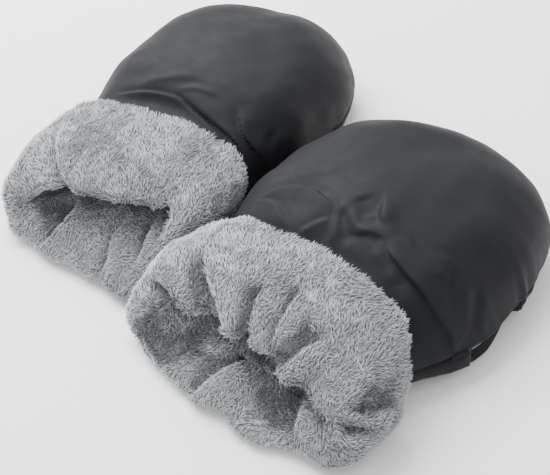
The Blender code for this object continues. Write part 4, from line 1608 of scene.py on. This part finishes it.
def lie_on_table(mesh: Mesh, soft: float = 0.0024, lowest: float = 0.0003) -> None:
    """Flattens what would reach into the table, more and more the lower it is."""
    flat = np.zeros(len(mesh.vertices) * 3, np.float32)
    mesh.vertices.foreach_get("co", flat)
    height = flat[2::3]
    pressed = lowest + (soft - lowest) * np.exp(np.minimum(height - soft, 0.0) / (soft - lowest))
    flat[2::3] = np.where(height < soft, pressed, height)
    mesh.vertices.foreach_set("co", flat)
    mesh.update()


def pile_ground(points: Array, lay: Array, thick: Array, tone: Array) -> Object:
    """A scratch grid that carries the attributes a pile grows by.

    Args:
        points: the grid, in the pair's frame.
        lay: the way the pile leans at each point.
        thick: how full the pile is at each point, from 0 to 1.
        tone: how light it is at each point, from 0 to 1.

    Returns:
        The grid's object, with its faces turned to the side that the pile grows on.
    """
    rows, columns = points.shape[:2]
    number = np.arange(rows * columns).reshape(rows, columns)
    faces = np.stack([number[:-1, :-1], number[1:, :-1], number[1:, 1:], number[:-1, 1:]], -1)
    mesh = bpy.data.meshes.new("pile_ground")
    mesh.from_pydata(points.reshape(-1, 3).tolist(), [], faces.reshape(-1, 4).tolist())
    store(mesh, "pile", thick)
    store(mesh, "tone", tone)
    store(mesh, "lay", lay, "FLOAT_VECTOR")
    return put_in_scene("pile_ground", mesh)


def tube_mesh(name: str, path: Array, radii: Array, sides: int) -> Object:
    """A closed tube along a path in the x-z or x-y plane, as a shape to repeat.

    Args:
        name: the object's name.
        path: the points along its middle.
        radii: its radius at each point.
        sides: how many faces it has round it.

    Returns:
        The object, which isn't linked to the scene.
    """
    forward = unit(np.gradient(path, axis=0))
    up = np.where(np.abs(forward[:, 2:]) > 0.9, [[1.0, 0.0, 0.0]], [[0.0, 0.0, 1.0]])
    over = unit(np.cross(up, forward))
    up = np.cross(forward, over)
    turn = np.arange(sides) * 2 * math.pi / sides
    rings = (
        path[:, None]
        + radii[:, None, None] * np.cos(turn)[None, :, None] * over[:, None]
        + radii[:, None, None] * np.sin(turn)[None, :, None] * up[:, None]
    )
    number = np.arange(len(path) * sides).reshape(len(path), sides)
    after = np.roll(number, -1, 1)
    walls = np.stack([number[:-1], after[:-1], after[1:], number[1:]], -1).reshape(-1, 4).tolist()
    caps = [number[0][::-1].tolist(), number[-1].tolist()]
    mesh = bpy.data.meshes.new(name)
    mesh.from_pydata(rings.reshape(-1, 3).tolist(), [], walls + caps)
    mesh.shade_smooth()
    return bpy.data.objects.new(name, mesh)


@dataclass(frozen=True)
class StitchKind:
    """A stitch that is repeated along a row. Lengths in metres."""

    name: str
    pitch: float
    length: float
    thickness: float
    rise: float
    crosswise: bool = False
    slant_deg: float = 0.0

    def build(self) -> Collection:
        """Makes the stitch lying along x, or along y where it crosses the row, in two slants."""
        kept = bpy.data.collections.new(self.name)
        share = np.linspace(-1.0, 1.0, 7)
        height = self.rise * (1 - share**2) ** 0.7 - 0.35 * self.thickness * np.abs(share) ** 3
        radii = self.thickness / 2 * np.sqrt(1 - (0.92 * share) ** 6)
        for number, slant in enumerate((self.slant_deg, -self.slant_deg)):
            angle = math.radians(slant + (90 if self.crosswise else 0))
            reach = share * self.length / 2
            path = np.stack([reach * math.cos(angle), reach * math.sin(angle), height], -1)
            kept.objects.link(tube_mesh(f"{self.name}_{number}", path, radii, 5))
        return kept


TOPSTITCH = StitchKind("topstitch", pitch=0.0034, length=0.0027, thickness=0.00055, rise=0.00012)
BAR_THREAD = StitchKind(
    "bar_thread", pitch=0.00098, length=0.0072, thickness=0.00062, rise=0.00065, crosswise=True, slant_deg=9
)
EDGE_STITCH = StitchKind("edge_stitch", pitch=0.0026, length=0.0020, thickness=0.00045, rise=0.0001)


class Stitcher:
    """Rows of stitches, and rows of hooks, set along lines by a node tree."""

    def __init__(self, finishes: Finishes) -> None:
        """Makes the stitches, the hooks and the node tree."""
        self.finishes = finishes
        self.kinds = {kind.name: kind.build() for kind in (TOPSTITCH, BAR_THREAD, EDGE_STITCH)}
        self.hooks = self.hook_shapes()
        self.tree = self.build_tree()

    @staticmethod
    def hook_shapes(height: float = 0.0009, thickness: float = 0.00035) -> Collection:
        """Two small hooks that bend over opposite ways."""
        kept = bpy.data.collections.new("hooks")
        turn = np.linspace(0.0, 0.8 * math.pi, 5)
        for number, way in enumerate((1, -1)):
            bend = 0.35 * height
            side = way * bend * (1 - np.cos(turn))
            rise = height - bend - thickness / 2 + bend * np.sin(turn)
            path = np.stack([side, np.zeros(5), rise], -1)
            path = np.concatenate([[[0.0, 0.0, -0.0001]], path])
            kept.objects.link(tube_mesh(f"hook_{number}", path, np.full(6, thickness / 2), 3))
        return kept

    @staticmethod
    def build_tree() -> NodeTree:
        """The node tree: even places along each line, and a shape on each of them."""
        sockets = (
            ("Line", "IN", "Geometry", None),
            ("Pitch", "IN", "Float", 0.003),
            ("Shapes", "IN", "Collection", None),
            ("Finish", "IN", "Material", None),
            ("Row", "OUT", "Geometry", None),
        )
        graph, given = new_group("stitch_row", sockets, "GeometryNodeTree")
        curve = graph.add("GeometryNodeMeshToCurve", {"Mesh": given["Line"]})
        places = graph.add(
            "GeometryNodeResampleCurve", {"Curve": curve.outputs[0], "Length": given["Pitch"]}, mode="LENGTH"
        )
        along = graph.add("GeometryNodeInputTangent")
        turned = graph.upright(graph.attribute("facing", "FLOAT_VECTOR"), along.outputs[0])
        index = graph.math("MODULO", graph.add("GeometryNodeInputIndex").outputs[0], 2.0)
        placed = graph.instances(places.outputs[0], given["Shapes"], index, turned)
        real = graph.add("GeometryNodeRealizeInstances", {"Geometry": placed})
        dressed = {"Geometry": real.outputs[0], "Material": given["Finish"]}
        finished = graph.add("GeometryNodeSetMaterial", dressed)
        graph.add("NodeGroupOutput", {"Row": finished.outputs[0]})
        return graph.tree

    def rows(self, name: str, lines: Lines, pitch: float, shapes: Collection, finish: Material) -> Object:
        """Shapes repeated along lines.

        Args:
            name: the new piece's name.
            lines: for each line its points and the directions that the shapes face.
            pitch: distance from one shape to the next.
            shapes: the shapes, taken in turn.
            finish: their material.

        Returns:
            The new piece.
        """
        edges, done = [], 0
        for line, _ in lines:
            edges += [(done + step, done + step + 1) for step in range(len(line) - 1)]
            done += len(line)
        mesh = bpy.data.meshes.new(name)
        mesh.from_pydata(np.concatenate([line for line, _ in lines]).tolist(), edges, [])
        store(mesh, "facing", np.concatenate([facing for _, facing in lines]), "FLOAT_VECTOR")
        values = {"Pitch": pitch, "Shapes": shapes, "Finish": finish}
        return run_nodes(name, put_in_scene(name, mesh), self.tree, values)

    def stitch(self, name: str, lines: Lines, kind: StitchKind, body: str) -> Object:
        """Rows of one kind of stitch, riding on a body.

        Args:
            name: the new piece's name.
            lines: for each line its points and the directions that the stitches face.
            kind: the kind of stitch.
            body: the body's name.

        Returns:
            The new piece.
        """
        piece = self.rows(name, lines, kind.pitch, self.kinds[kind.name], self.finishes.thread)
        lie_on_table(piece.data, soft=0.0006, lowest=0.00002)
        declare(piece, body, "thread")
        return piece


def declare(piece: Object, body: str, slot: str, *nodes: str) -> None:
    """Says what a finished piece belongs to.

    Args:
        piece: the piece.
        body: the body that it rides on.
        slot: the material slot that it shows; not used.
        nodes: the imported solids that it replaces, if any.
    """
    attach(piece, body)
    if nodes:
        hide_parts(*nodes)
    LOG.info("%s rides on %s", piece.name, body)


@dataclass
class MuffPart:
    """What each part of a muff is made from."""

    form: MuffForm
    frame: MuffFrame
    finishes: Finishes
    pile: Pile
    stitcher: Stitcher

    def lie(self, points: Array) -> Array:
        """Points of the muff's frame, pressed as the pouch is and put where the muff lies."""
        return self.frame.world(self.form.pouch.settle(points))

    def plush_lining(self, wall: PouchWall, name: str, pile_name: str, body: str) -> None:
        """One lining piece with thin pile on its inner side.

        Args:
            wall: the panel that it lines.
            name: the lining's name, which is also the name of the solid that it replaces.
            pile_name: the pile's name.
            body: the body that both ride on.
        """
        lining = wall.lining_piece(name, self.finishes.ground)
        declare(lining, body, "plush", name)
        inner = wall.placed[1] if wall.panel is Panel.TOP else wall.placed[1][:, ::-1]
        lay = -unit(np.gradient(inner, axis=0))
        seed = self.form.seed
        thick = np.full(inner.shape[:2], 0.6) + 0.1 * ripple(inner, 0.02, seed)
        tone = np.full(inner.shape[:2], 0.5)
        ground = pile_ground(inner, lay, thick, tone)
        declare(self.pile.grow(pile_name, ground, seed + 50, LINING_DENSITY), body, "plush")


def strip_plan(half_width: Array, lines: Array, corner: float, columns: int) -> tuple[Array, Array]:
    """Plan points of a strip of cloth whose front corners are rounded.

    Args:
        half_width: half the strip's width at each line.
        lines: the y of each line.
        corner: radius of the front corners.
        columns: how many points each line has.

    Returns:
        The x and y of each point.
    """
    into = np.clip(1 - (lines - lines[0]) / corner, 0.0, 1.0)
    narrowed = half_width - corner * (1 - np.sqrt(1 - into**2))
    x = narrowed[:, None] * np.linspace(-1.0, 1.0, columns)[None]
    return x, np.repeat(lines[:, None], columns, 1)


@dataclass
class Flap(MuffPart):
    """The flap that closes the palm: its pad, its tab, its tapes and the fold that it hangs on."""

    tape_width: float = 0.018
    tape_length: float = 0.088
    tape: float = 0.0010
    tape_corner: float = 0.0015
    loop_base: float = 0.0004
    hook_base: float = 0.0006
    hook_gap: float = 0.0015
    hook_insets: tuple[float, float] = (0.004, 0.003)
    edge_insets: tuple[float, float] = (0.0016, 0.0014)
    hem_inset: float = 0.0026
    hem_margin: float = 0.010
    tab_into_pad: float = 0.004
    tab_corner: float = 0.006
    tab_inset: float = 0.0025
    tab_wave: float = 0.00004
    tab_stitch_height: float = 0.0005
    fold_share: float = 0.97
    fold_reach: float = 0.0052
    fold_low: float = 0.00006
    fold_high: float = 0.0008
    blend_share: float = 0.4

    def flat_solid(
        self, name: str, plan: tuple[Array, Array], low: Array | float, high: Array | float,
        finish: Material,
    ) -> Object:
        """A closed flat piece between two heights, put where the muff lies.

        Args:
            name: the piece's name.
            plan: the x and y of its grid, in the muff's frame.
            low: the height of its lower side.
            high: the height of its upper side.
            finish: its material.

        Returns:
            The new piece.
        """
        shape = plan[0].shape
        both = self.lie(np.stack([np.stack([*plan, np.broadcast_to(z, shape)], -1) for z in (high, low)]))
        cloth = np.tile(np.stack(plan, -1).reshape(-1, 2), (2, 1))
        return mesh_object(name, both.reshape(-1, 3), layer_faces(*shape), finish, cloth, 40.0)

    def line_at(self, x: Array, y: Array, z: float, up: float) -> tuple[Array, Array]:
        """A line in the muff's frame for stitches, which face up or down."""
        line = np.stack(np.broadcast_arrays(x, y, z), -1)
        return self.lie(line), np.tile([0.0, 0.0, up], (len(line), 1))

    def tape_edge(self, middle: float, z: float, up: float) -> Lines:
        """Four lines of stitches round a tape, just in from its edge.

        Args:
            middle: the y of the tape's middle.
            z: the height of the tape's face.
            up: 1 where the stitches face up, -1 where they face down.

        Returns:
            The points and facing directions of each line.
        """
        half_x = self.tape_length / 2 - self.edge_insets[0]
        half_y = self.tape_width / 2 - self.edge_insets[1]
        side = np.linspace(-1.0, 1.0, 30)
        lines = [self.line_at(side * half_x, middle + way * half_y, z, up) for way in (-1, 1)]
        return lines + [self.line_at(way * half_x, middle + half_y * side, z, up) for way in (-1, 1)]

    def build(self) -> None:
        """Makes every piece of the flap."""
        self.pad()
        self.tab()
        self.tapes()
        self.fold()

    def pad(self) -> None:
        """The padded panel, its lining and the stitches along its hem."""
        name, body = self.form.name, f"{self.form.name}_flap"
        wall = PouchWall(self.form, self.frame, Panel.FLAP, columns=130, step=0.0016, fine_step=0.0016)
        pad = wall.wall_piece(f"{name}_flap_shell", self.finishes.shell)
        declare(pad, body, "shell", f"{name}_flap_shell", f"{name}_flap_wadding")
        thin = PouchWall(self.form, self.frame, Panel.FLAP, columns=50, step=0.004, fine_step=0.004)
        self.plush_lining(thin, f"{name}_flap_lining", f"{name}_flap_pile", body)
        hem = [wall.row_line(0, self.hem_inset, self.hem_margin)]
        self.stitcher.stitch(f"{name}_flap_stitches", hem, TOPSTITCH, body)

    def tab(self) -> None:
        """The doubled cloth that reaches under the wrist and carries the hook tape."""
        pouch, name, body = self.form.pouch, self.form.name, f"{self.form.name}_flap"
        front = pouch.slot_start - pouch.tab_overlap
        lines = np.linspace(front, pouch.slot_start + pouch.swing_gap + self.tab_into_pad, 40)
        half = pouch.tab_share * pouch.half_width(lines)
        x, y = strip_plan(half, lines, self.tab_corner, 60)
        waves = np.clip(ripple(np.stack([x, y, 0 * x], -1), 0.018, self.form.seed + 9), -1.0, 1.0)
        low = self.fold_low + self.tab_wave * (1 + waves)
        tab = self.flat_solid(f"{name}_flap_tab", (x, y), low, pouch.shell, self.finishes.shell)
        declare(tab, body, "shell")
        across = np.linspace(-0.9, 0.9, 30) * half[0]
        rows = [self.line_at(across, front + self.tab_inset, self.tab_stitch_height, -1.0)]
        for side in (-1, 1):
            y = np.linspace(front + self.tab_corner, pouch.slot_start, 20)
            x = side * (pouch.tab_share * pouch.half_width(y) - self.tab_inset)
            rows.append(self.line_at(x, y, self.tab_stitch_height, -1.0))
        self.stitcher.stitch(f"{name}_tab_stitches", rows, TOPSTITCH, body)

    def tapes(self) -> None:
        """The hook tape on the tab, and the loop tape under the wrist that it closes on."""
        pouch, name, flap = self.form.pouch, self.form.name, f"{self.form.name}_flap"
        middle = pouch.slot_start - pouch.tab_overlap / 2
        half_x, half_y = self.tape_length / 2, self.tape_width / 2
        low = pouch.shell + pouch.gap
        hook_face = low + self.hook_base
        lines = np.linspace(middle - half_y, middle + half_y, 16)
        plan = strip_plan(np.full(16, half_x), lines, self.tape_corner, 40)
        hook = self.flat_solid(f"{name}_hook_tape", plan, low, hook_face, self.finishes.hook)
        declare(hook, flap, "hook", f"{name}_hook_tape")
        inner_x, inner_y = half_x - self.hook_insets[0], half_y - self.hook_insets[1]
        across = np.linspace(-inner_x, inner_x, 20)
        places = np.arange(middle - inner_y, middle + inner_y, self.hook_gap)
        rows = [self.line_at(across, place, hook_face, 1.0) for place in places]
        shapes = self.stitcher.hooks
        hooks = self.stitcher.rows(f"{name}_hooks", rows, self.hook_gap, shapes, self.finishes.hook)
        declare(hooks, flap, "hook")
        edge = self.tape_edge(middle, hook_face, 1.0)
        self.stitcher.stitch(f"{name}_hook_stitches", edge, EDGE_STITCH, flap)
        low = low + self.tape + pouch.gap
        loop_face = low + self.loop_base
        loop = self.flat_solid(f"{name}_loop_tape", plan, loop_face, low + self.tape, self.finishes.loop)
        declare(loop, f"{name}_muff", "loop", f"{name}_loop_tape")
        edge = self.tape_edge(middle, loop_face, -1.0)
        self.stitcher.stitch(f"{name}_loop_stitches", edge, EDGE_STITCH, f"{name}_muff")

    def fold(self) -> None:
        """The strip of cloth that the flap hangs on, across the hinge where it meets the toe."""
        pouch, name = self.form.pouch, self.form.name
        hinge = pouch.slot_end - pouch.gap
        lines = np.linspace(hinge - self.fold_reach, hinge + self.fold_reach, 25)
        half = self.fold_share * pouch.flap_share(lines) * pouch.half_width(lines)
        x = half[:, None] * np.linspace(-1.0, 1.0, 90)[None]
        y = np.repeat(lines[:, None], 90, 1)
        lift = pouch.palm_height(x, y, False)
        low, high = lift + self.fold_low, lift + self.fold_high
        strip = self.flat_solid(f"{name}_flap_fold", (x, y), low, high, self.finishes.shell)
        start, end = (
            tuple(self.frame.world(np.array([0.0, hinge + way * self.blend_share * self.fold_reach, 0.0])))
            for way in (1, -1)
        )
        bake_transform(strip)
        LOG.info("%s bends from %s_muff to %s_flap", strip.name, name, name)


@dataclass
class Cuff(MuffPart):
    """The thick plush roll at the mouth: a padded ground ring with its pile."""

    inset: float = 0.0034
    visible_count: int = 84
    sectors: int = 6
    density: float = 800000.0
    roll_room: float = 0.0170
    lining_room: float = 0.0050
    lowest: float = 0.0004
    # Painted shade in the folds and deep in the mouth, painted light on the lobes and on the roll by the back
    # edge.
    valley_painted_shade: float = 0.84
    ridge_painted_light: float = 0.12
    mouth_painted_shade: float = 0.42
    back_edge_painted_light: float = 0.10
    creased: Array | None = None

    def tone(self, points: Array) -> Array:
        """How light the pile is painted: painted shade in the folds and deep in the mouth, painted light on
        the lobes, on the roll by the back edge and on one side.

        Args:
            points: the visible ring, in the muff's frame.

        Returns:
            A painted tone from 0 to 1 for each point.
        """
        cuff = self.form.cuff
        inside = np.linspace(0.0, 1.0, self.visible_count)[None]
        deep = ease(points[..., 1], 0.015, 0.050) * ease(inside, 0.6, 0.7)
        # Painted shade where the folds sink in, painted light where the cloth rises into lobes.
        folded = self.valley_painted_shade * ease(self.creased, 0.0004, 0.0060)
        folded -= self.ridge_painted_light * ease(-self.creased, 0.0010, 0.0060)
        uneven = 0.06 * ripple(points, 0.040, self.form.seed + 61)
        # Painted light on one side of the cuff and on the roll by its back edge.
        base = cuff.tone + cuff.side_painted_light * points[..., 0] / 0.1
        base = base + self.back_edge_painted_light * (1 - ease(inside, 0.08, 0.34))
        # Painted shade deep in the mouth.
        return np.clip(base - folded - self.mouth_painted_shade * deep + uneven, 0.05, 0.92)

    def ground_points(self) -> tuple[Array, Array, Array]:
        """The ring's points, its outward normals and the way its pile lies, in the muff's frame."""
        ring = CuffRing.of(self.form)
        shown = ring.visible(self.visible_count)
        normals = -grid_normals(np.concatenate([shown, shown[:1]]))[:-1]
        normals[0] = -grid_normals(np.concatenate([shown[-3:], shown[:3]]))[3]
        seed = self.form.seed
        sink = self.inset + 0.0007 * ripple(shown, 0.035, seed + 31)
        sink += 0.0004 * ripple(shown, 0.014, seed + 32)
        self.creased = sum(crease.sink(shown, normals) for crease in self.form.cuff_creases)
        sink += self.creased
        inside = np.linspace(0.0, 1.0, self.visible_count)
        deep = ease(inside, 0.56, 0.66) * ease(shown[..., 1], 0.034, 0.046)
        room = between(self.roll_room, self.lining_room, deep)
        sink = np.where(sink > 0, room * np.tanh(sink / room), sink)
        lay = -np.gradient(shown, axis=1)
        shown = shown - normals * sink[..., None]
        return np.concatenate([shown, ring.hidden()], 1), normals, unit(lay)

    def build(self) -> None:
        """Makes the ground and its pile."""
        name, body = self.form.name, f"{self.form.name}_muff"
        points, normals, lay = self.ground_points()
        rings, corners = points.shape[:2]
        settled = self.form.pouch.settle(points)
        settled[..., 2] = np.maximum(settled[..., 2], self.lowest)
        placed = self.frame.world(settled)
        faces = ring_faces(rings, corners)
        ground = mesh_object(f"{name}_plush_cuff", placed.reshape(-1, 3), faces, self.finishes.ground)
        declare(ground, body, "plush", f"{name}_plush_cuff", f"{name}_cuff_wadding")
        shown = slice(None, self.visible_count)
        swirled = self.swirl(settled[:, shown], normals, lay)
        # Painted shade and painted light for the pile's strands.
        tone = self.tone(points[:, shown])
        step = rings // self.sectors + 1
        for sector in range(self.sectors):
            first, last = sector * step, min((sector + 1) * step, rings)
            chosen = np.arange(first, last + 1) % rings
            patch = pile_ground(
                placed[chosen][:, shown], self.frame.turned(swirled[chosen]),
                self.thickness(points[chosen][:, shown]), tone[chosen],
            )
            pile_name = f"{name}_cuff_pile_{sector + 1}"
            declare(self.pile.grow(pile_name, patch, self.form.seed + sector, self.density), body, "plush")

    def thickness(self, points: Array) -> Array:
        """Full pile outside, thinner and shorter deep in the mouth.

        Args:
            points: part of the visible ring, in the muff's frame.

        Returns:
            How full the pile is at each point, about 1 outside.
        """
        inside = np.arange(self.visible_count) / self.visible_count
        deep = ease(points[..., 1], 0.030, 0.055) * (inside > 0.6)
        clumps = 0.90 + 0.10 * ripple(points, 0.007, self.form.seed + 51)
        return clumps * (1 - 0.55 * deep)

    def swirl(self, points: Array, normals: Array, lay: Array) -> Array:
        """Turns the lay of the pile this way and that, as handling leaves it.

        Args:
            points: the visible ring.
            normals: its outward normals.
            lay: the way the pile lies when it is straight.

        Returns:
            The turned lay at each point.
        """
        seed = self.form.seed
        angle = 0.40 * ripple(points, 0.050, seed + 41) + 0.42 * ripple(points, 0.010, seed + 42)
        side = np.cross(normals, lay)
        return lay * np.cos(angle)[..., None] + side * np.sin(angle)[..., None]


@dataclass
class Tacks(MuffPart):
    """Bar tacks across the side seam, just beyond both ends of each slot."""

    mouth_length: float = 0.0140
    toe_length: float = 0.0060

    def build(self) -> None:
        """Makes the four tacks."""
        pouch, muff = self.form.pouch, self.form.name
        ends = (
            ("mouth", pouch.slot_start, -self.mouth_length),
            ("toe", pouch.slot_end, self.toe_length),
        )
        for side_name, side in (("inner", pouch.inner_side), ("outer", -pouch.inner_side)):
            for end_name, slot_end, reach in ends:
                name = f"{muff}_{end_name}_tack_{side_name}"
                y = slot_end + np.linspace(0.0, reach, 12)
                line = self.lie(np.stack([side * pouch.half_width(y), y, pouch.seam_at(y)], -1))
                facing = self.frame.turned(np.tile([float(side), 0.0, 0.0], (len(y), 1)))
                tack = self.stitcher.stitch(name, [(line, facing)], BAR_THREAD, f"{muff}_muff")
                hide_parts(name)


@dataclass
class Pouch(MuffPart):
    """The padded pouch of one muff: its walls and their lining."""

    hem_inset: float = 0.0032
    hem_margin: float = 0.012

    def build(self) -> None:
        """Makes the three walls and the three lining pieces."""
        for panel in (Panel.TOP, Panel.PALM_WRIST, Panel.PALM_TOE):
            self.wall(panel)
            self.lining(panel)

    def wall(self, panel: Panel) -> None:
        """One padded wall, with the stitches along its open edges."""
        pouch, body = self.form.pouch, f"{self.form.name}_muff"
        name = f"{self.form.name}_shell_{panel.value}"
        fine = {"columns": 230, "step": 0.0018, "fine_step": 0.0009, "toe_rows": 78}
        wall = PouchWall(self.form, self.frame, panel, **(fine if panel is Panel.TOP else {}))
        piece = wall.wall_piece(name, self.finishes.shell)
        declare(piece, body, "shell", name, f"{self.form.name}_wadding_{panel.value}")
        if panel is Panel.TOP:
            y = wall.plan()[1][:, 0]
            rows = (y > pouch.slot_start) & (y < pouch.slot_end)
            lines = [wall.side_line(end, self.hem_inset, rows) for end in (0, -1)]
        else:
            open_row = -1 if panel is Panel.PALM_WRIST else 0
            lines = [wall.row_line(open_row, self.hem_inset, self.hem_margin)]
        self.stitcher.stitch(f"{self.form.name}_{panel.value}_hem", lines, TOPSTITCH, body)

    def lining(self, panel: Panel) -> None:
        """One lining piece with its thin pile."""
        name = f"{self.form.name}_lining_{panel.value}"
        thin = PouchWall(self.form, self.frame, panel, columns=70, step=0.005, fine_step=0.005, toe_rows=26)
        self.plush_lining(thin, name, f"{name}_pile", f"{self.form.name}_muff")


@dataclass(frozen=True)
class Studio:
    """The camera at the photograph's angle, soft lights and a pale floor."""

    camera_place: Triple = (0.40300, -0.59340, 0.62136)
    azimuth_deg: float = 34.28
    elevation_deg: float = 41.70
    lens: float = 80.113
    sensor: float = 36.0
    farthest: float = 20.0
    surround: float = 1.24
    floor_half: float = 6.0

    def build(self, finishes: Finishes) -> None:
        """Sets up everything round the pair."""
        self.camera()
        self.lights()
        self.floor(finishes.floor)

    @staticmethod
    def aim(thing: Object, place: Triple, way: Vector) -> None:
        """Puts a camera or a light in its place and turns it to look along a direction."""
        thing.location = place
        thing.rotation_euler = way.to_track_quat("-Z", "Y").to_euler()

    def camera(self) -> None:
        """The photograph's camera."""
        data = bpy.data.cameras.new("camera")
        data.lens = self.lens
        data.sensor_width = self.sensor
        data.clip_end = self.farthest
        made = put_in_scene("camera", data)
        azimuth, elevation = math.radians(self.azimuth_deg), math.radians(self.elevation_deg)
        flat = math.cos(elevation)
        way = Vector((-math.sin(azimuth) * flat, math.cos(azimuth) * flat, -math.sin(elevation)))
        self.aim(made, self.camera_place, way)
        bpy.context.scene.camera = made

    def lights(self) -> None:
        """A broad softbox overhead, a weaker one from the front, and an even white surround."""
        for name, place, target, size, power in (
            ("overhead_softbox", (-0.95, 0.30, 1.25), (0.0, 0.0, 0.0), 1.5, 80.0),
            ("front_fill", (-0.5, -1.3, 0.9), (0.0, -0.1, 0.05), 1.2, 4.5),
        ):
            data = bpy.data.lights.new(name, "AREA")
            data.shape = "SQUARE"
            data.size = size
            data.energy = power
            self.aim(put_in_scene(name, data), place, Vector(target) - Vector(place))
        world = bpy.data.worlds.new("surround")
        world.use_nodes = True
        background = world.node_tree.nodes["Background"]
        background.inputs["Color"].default_value = (1.0, 1.0, 1.0, 1.0)
        background.inputs["Strength"].default_value = self.surround
        bpy.context.scene.world = world

    def floor(self, finish: Material) -> None:
        """A large plain floor at the height that the muffs lie on."""
        half = self.floor_half
        corners = [(-half, -half, 0.0), (half, -half, 0.0), (half, half, 0.0), (-half, half, 0.0)]
        mesh = bpy.data.meshes.new("floor")
        mesh.from_pydata(corners, [], [(0, 1, 2, 3)])
        mesh.materials.append(finish)
        put_in_scene("floor", mesh)


def main() -> None:
    """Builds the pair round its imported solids."""
    logging.basicConfig(level=logging.INFO)
    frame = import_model()
    joints = {joint["name"]: joint for joint in frame["joints"]}
    finishes = Finishes()
    Studio().build(finishes)
    pile = Pile(finishes.strands)
    stitcher = Stitcher(finishes)
    for form in (LEFT_MUFF, RIGHT_MUFF):
        place = MuffFrame.from_joint(joints[f"{form.name}_flap_hinge"], form.pouch)
        for part in (Pouch, Flap, Tacks, Cuff):
            part(form, place, finishes, pile, stitcher).build()


if __name__ == "__main__":
    main()
